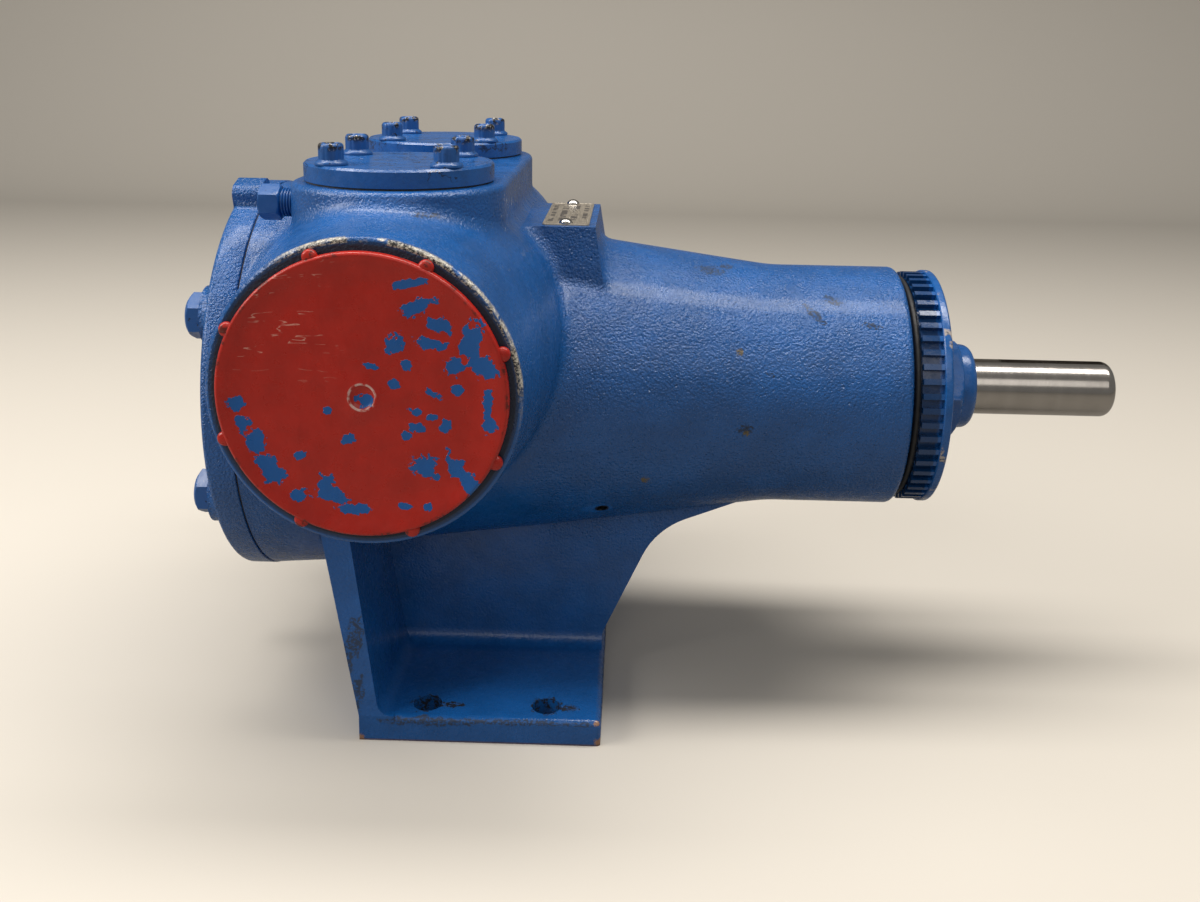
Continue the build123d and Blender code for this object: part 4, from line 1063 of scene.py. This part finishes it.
class GEARPUMP_OT_gauge_plugs(bpy.types.Operator):
    """Hexagon plugs in the gauge ports, with a few threads showing"""

    bl_idname = "gear_pump.gauge_plugs"
    bl_label = "Gauge plugs"

    def execute(self, context):
        flats = settings().fasteners.plug_flats / MM
        profile = self.profile(flats)
        for node in ("front_gauge_plug", "rear_gauge_plug"):
            centre = middle_of(node)
            middle = Vector((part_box(node)[0].x + PLUG_STAND_OUT * MM, centre.y, centre.z))
            mesh = bmesh.new()
            spun(mesh, profile, middle, (-1, 0, 0), (0, 0, 1), 48)
            head = [vert for vert in mesh.verts if vert.co.x < middle.x - 5.6 * MM]
            take_flats(head, middle, (-1, 0, 0), (0, 0, 1), flats * MM, 6)
            closed(mesh)
            new_piece(node + "_threaded", mesh, body_of(node), "blue_painted_fasteners", (node,), 30)
        return {"FINISHED"}

    def profile(self, flats):
        """Shank, the threads that show and the head of one plug, before its flats are taken."""
        corner = flats / 2 / cos(radians(30))
        root, crest, top = PLUG_ROOT_R, PLUG_CREST_R, PLUG_STAND_OUT
        profile = [(-PLUG_DEPTH, 0), (-PLUG_DEPTH, root)]
        for ridge in range(PLUG_THREADS):
            start = 0.2 + PLUG_PITCH * ridge
            profile += [(start, root), (start + 0.4, crest), (start + 0.75, crest), (start + 1.15, root)]
        profile += [(5.5, root), (5.7, flats / 2 - 0.7), (6.0, corner - 0.9), (6.5, corner - 0.3), (6.9, corner)]
        profile += [(top - 1.4, corner), (top - 0.9, corner - 0.3), (top - 0.4, corner - 0.9)]
        profile += [(top - 0.1, flats / 2 - 0.6), (top, flats / 2 - 1.2), (top, 0)]
        return profile


class GEARPUMP_OT_end_cap(bpy.types.Operator):
    """Bearing end cap with its chamfered hexagon and rounded nose"""

    bl_idname = "gear_pump.end_cap"
    bl_label = "End cap"

    def execute(self, context):
        node = "bearing_end_cap"
        low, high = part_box(node)
        tip = (high.x - PORT_X) / MM
        plate = tip - END_NOSE
        middle = Vector((PORT_X, 0, SHAFT_Z))
        mesh = bmesh.new()
        spun(mesh, self.profile((low.x - PORT_X) / MM, plate, tip), middle, (1, 0, 0), (0, 1, 0), 144)
        start, end = along(plate + 0.5), along(plate + 15.3)
        sides = [vert for vert in mesh.verts if start < vert.co.x < end]
        sides = [vert for vert in sides if (vert.co - middle).yz.length > 21.8 * MM]
        take_flats(sides, middle, (1, 0, 0), (0, 1, 0), 2 * END_HEX_CORNER_R * cos(radians(30)) * MM, 6)
        closed(mesh)
        new_piece("end_cap_hexagon", mesh, body_of(node), "blue_painted_steel", (node,), 30)
        return {"FINISHED"}

    def profile(self, root, plate, tip):
        """Half section from the spigot over the plate and the hexagon to the nose, and back through the bores."""
        rim, corner = END_RIM_R / MM, END_HEX_CORNER_R
        back = plate - 4.1
        profile = [(root, END_BEARING_R), (root, END_SPIGOT_R), (back, END_SPIGOT_R), (back, rim - 0.5)]
        profile += [(plate - 3.6, rim)]
        profile += list(arc((plate - 1.3, rim - 1.3), 1.3, 90, 0, 4))
        profile += [(plate, corner + 0.9), (plate + 0.25, corner + 0.3), (plate + 0.8, corner)]
        profile += [(plate + 12.4, corner)]
        profile += [(plate + 13.2, corner - 1.0), (plate + 14.0, corner - 2.2), (plate + 14.7, corner - 3.4)]
        profile += [(plate + 15.2, corner - 4.2), (plate + 15.4, 21.9), (plate + 17.4, 21.7)]
        profile += list(arc((tip - 4.6, 17.0), 4.6, 82, 8, 6))
        profile += [(tip, END_BORE_R + 1.1), (tip - 0.4, END_BORE_R), (tip - 9.0, END_BORE_R)]
        profile += [(tip - 9.0, END_SEAL_R), (tip - 25.6, END_SEAL_R), (tip - 25.6, END_BEARING_R)]
        return profile


class GEARPUMP_OT_nameplate(bpy.types.Operator):
    """Thin metal plate with a pressed border and plain printed fields"""

    bl_idname = "gear_pump.nameplate"
    bl_label = "Nameplate"

    def execute(self, context):
        low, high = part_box("nameplate")
        size = high - low
        mesh = bmesh.new()
        place = Matrix.Translation((low + high) / 2) @ Matrix.Diagonal((*size, 1))
        bmesh.ops.create_cube(mesh, size=1, matrix=place)
        upright = [edge for edge in mesh.edges if abs((edge.verts[0].co - edge.verts[1].co).z) > size.z / 2]
        bmesh.ops.bevel(mesh, geom=upright, offset=1.6 * MM, segments=5, **ROUNDING)
        top = max(mesh.faces, key=lambda face: face.calc_center_median().z)
        bmesh.ops.bevel(mesh, geom=list(top.edges), offset=0.25 * MM, segments=2, **ROUNDING)
        top = max(mesh.faces, key=lambda face: face.calc_area() * face.normal.z)
        bmesh.ops.inset_region(mesh, faces=[top], thickness=0.9 * MM, depth=0)
        bmesh.ops.inset_region(mesh, faces=[top], thickness=0.25 * MM, depth=-0.15 * MM)
        new_piece("nameplate_pressed", mesh, body_of("nameplate"), "nameplate_metal", ("nameplate",), 30)
        return {"FINISHED"}


class GEARPUMP_PT_panel(bpy.types.Panel):
    """Settings and steps of the gear pump"""

    bl_idname = "GEARPUMP_PT_panel"
    bl_label = "Gear pump"
    bl_space_type = "VIEW_3D"
    bl_region_type = "UI"
    bl_category = "Gear pump"

    def draw(self, context):
        values = settings()
        for group in (values.paint, values.cap, values.fasteners, values.shaft, values.plate):
            box = self.layout.box()
            for name in group.bl_rna.properties.keys():
                if name not in ("rna_type", "name"):
                    box.prop(group, name)
        for step in STEPS:
            self.layout.operator(step.bl_idname)


CLASSES = (
    PaintSettings,
    CapSettings,
    FastenerSettings,
    ShaftSettings,
    PlateSettings,
    PumpSettings,
    GEARPUMP_OT_stage,
    GEARPUMP_OT_cad_finishes,
    GEARPUMP_OT_head,
    GEARPUMP_OT_port_caps,
    GEARPUMP_OT_head_bolts,
    GEARPUMP_OT_cover_screws,
    GEARPUMP_OT_gauge_plugs,
    GEARPUMP_OT_end_cap,
    GEARPUMP_OT_nameplate,
    GEARPUMP_PT_panel,
)
STEPS = tuple(entry for entry in CLASSES if issubclass(entry, bpy.types.Operator))


def register():
    for entry in CLASSES:
        bpy.utils.register_class(entry)
    bpy.types.Scene.gear_pump = PointerProperty(type=PumpSettings)


def unregister():
    del bpy.types.Scene.gear_pump
    for entry in reversed(CLASSES):
        bpy.utils.unregister_class(entry)


def main():
    register()
    bpy.ops.gear_pump.stage()
    bpy.ops.gear_pump.cad_finishes()
    bpy.ops.gear_pump.head()
    bpy.ops.gear_pump.port_caps()
    bpy.ops.gear_pump.head_bolts()
    bpy.ops.gear_pump.cover_screws()
    bpy.ops.gear_pump.gauge_plugs()
    bpy.ops.gear_pump.end_cap()
    bpy.ops.gear_pump.nameplate()


if __name__ == "__main__":
    main()
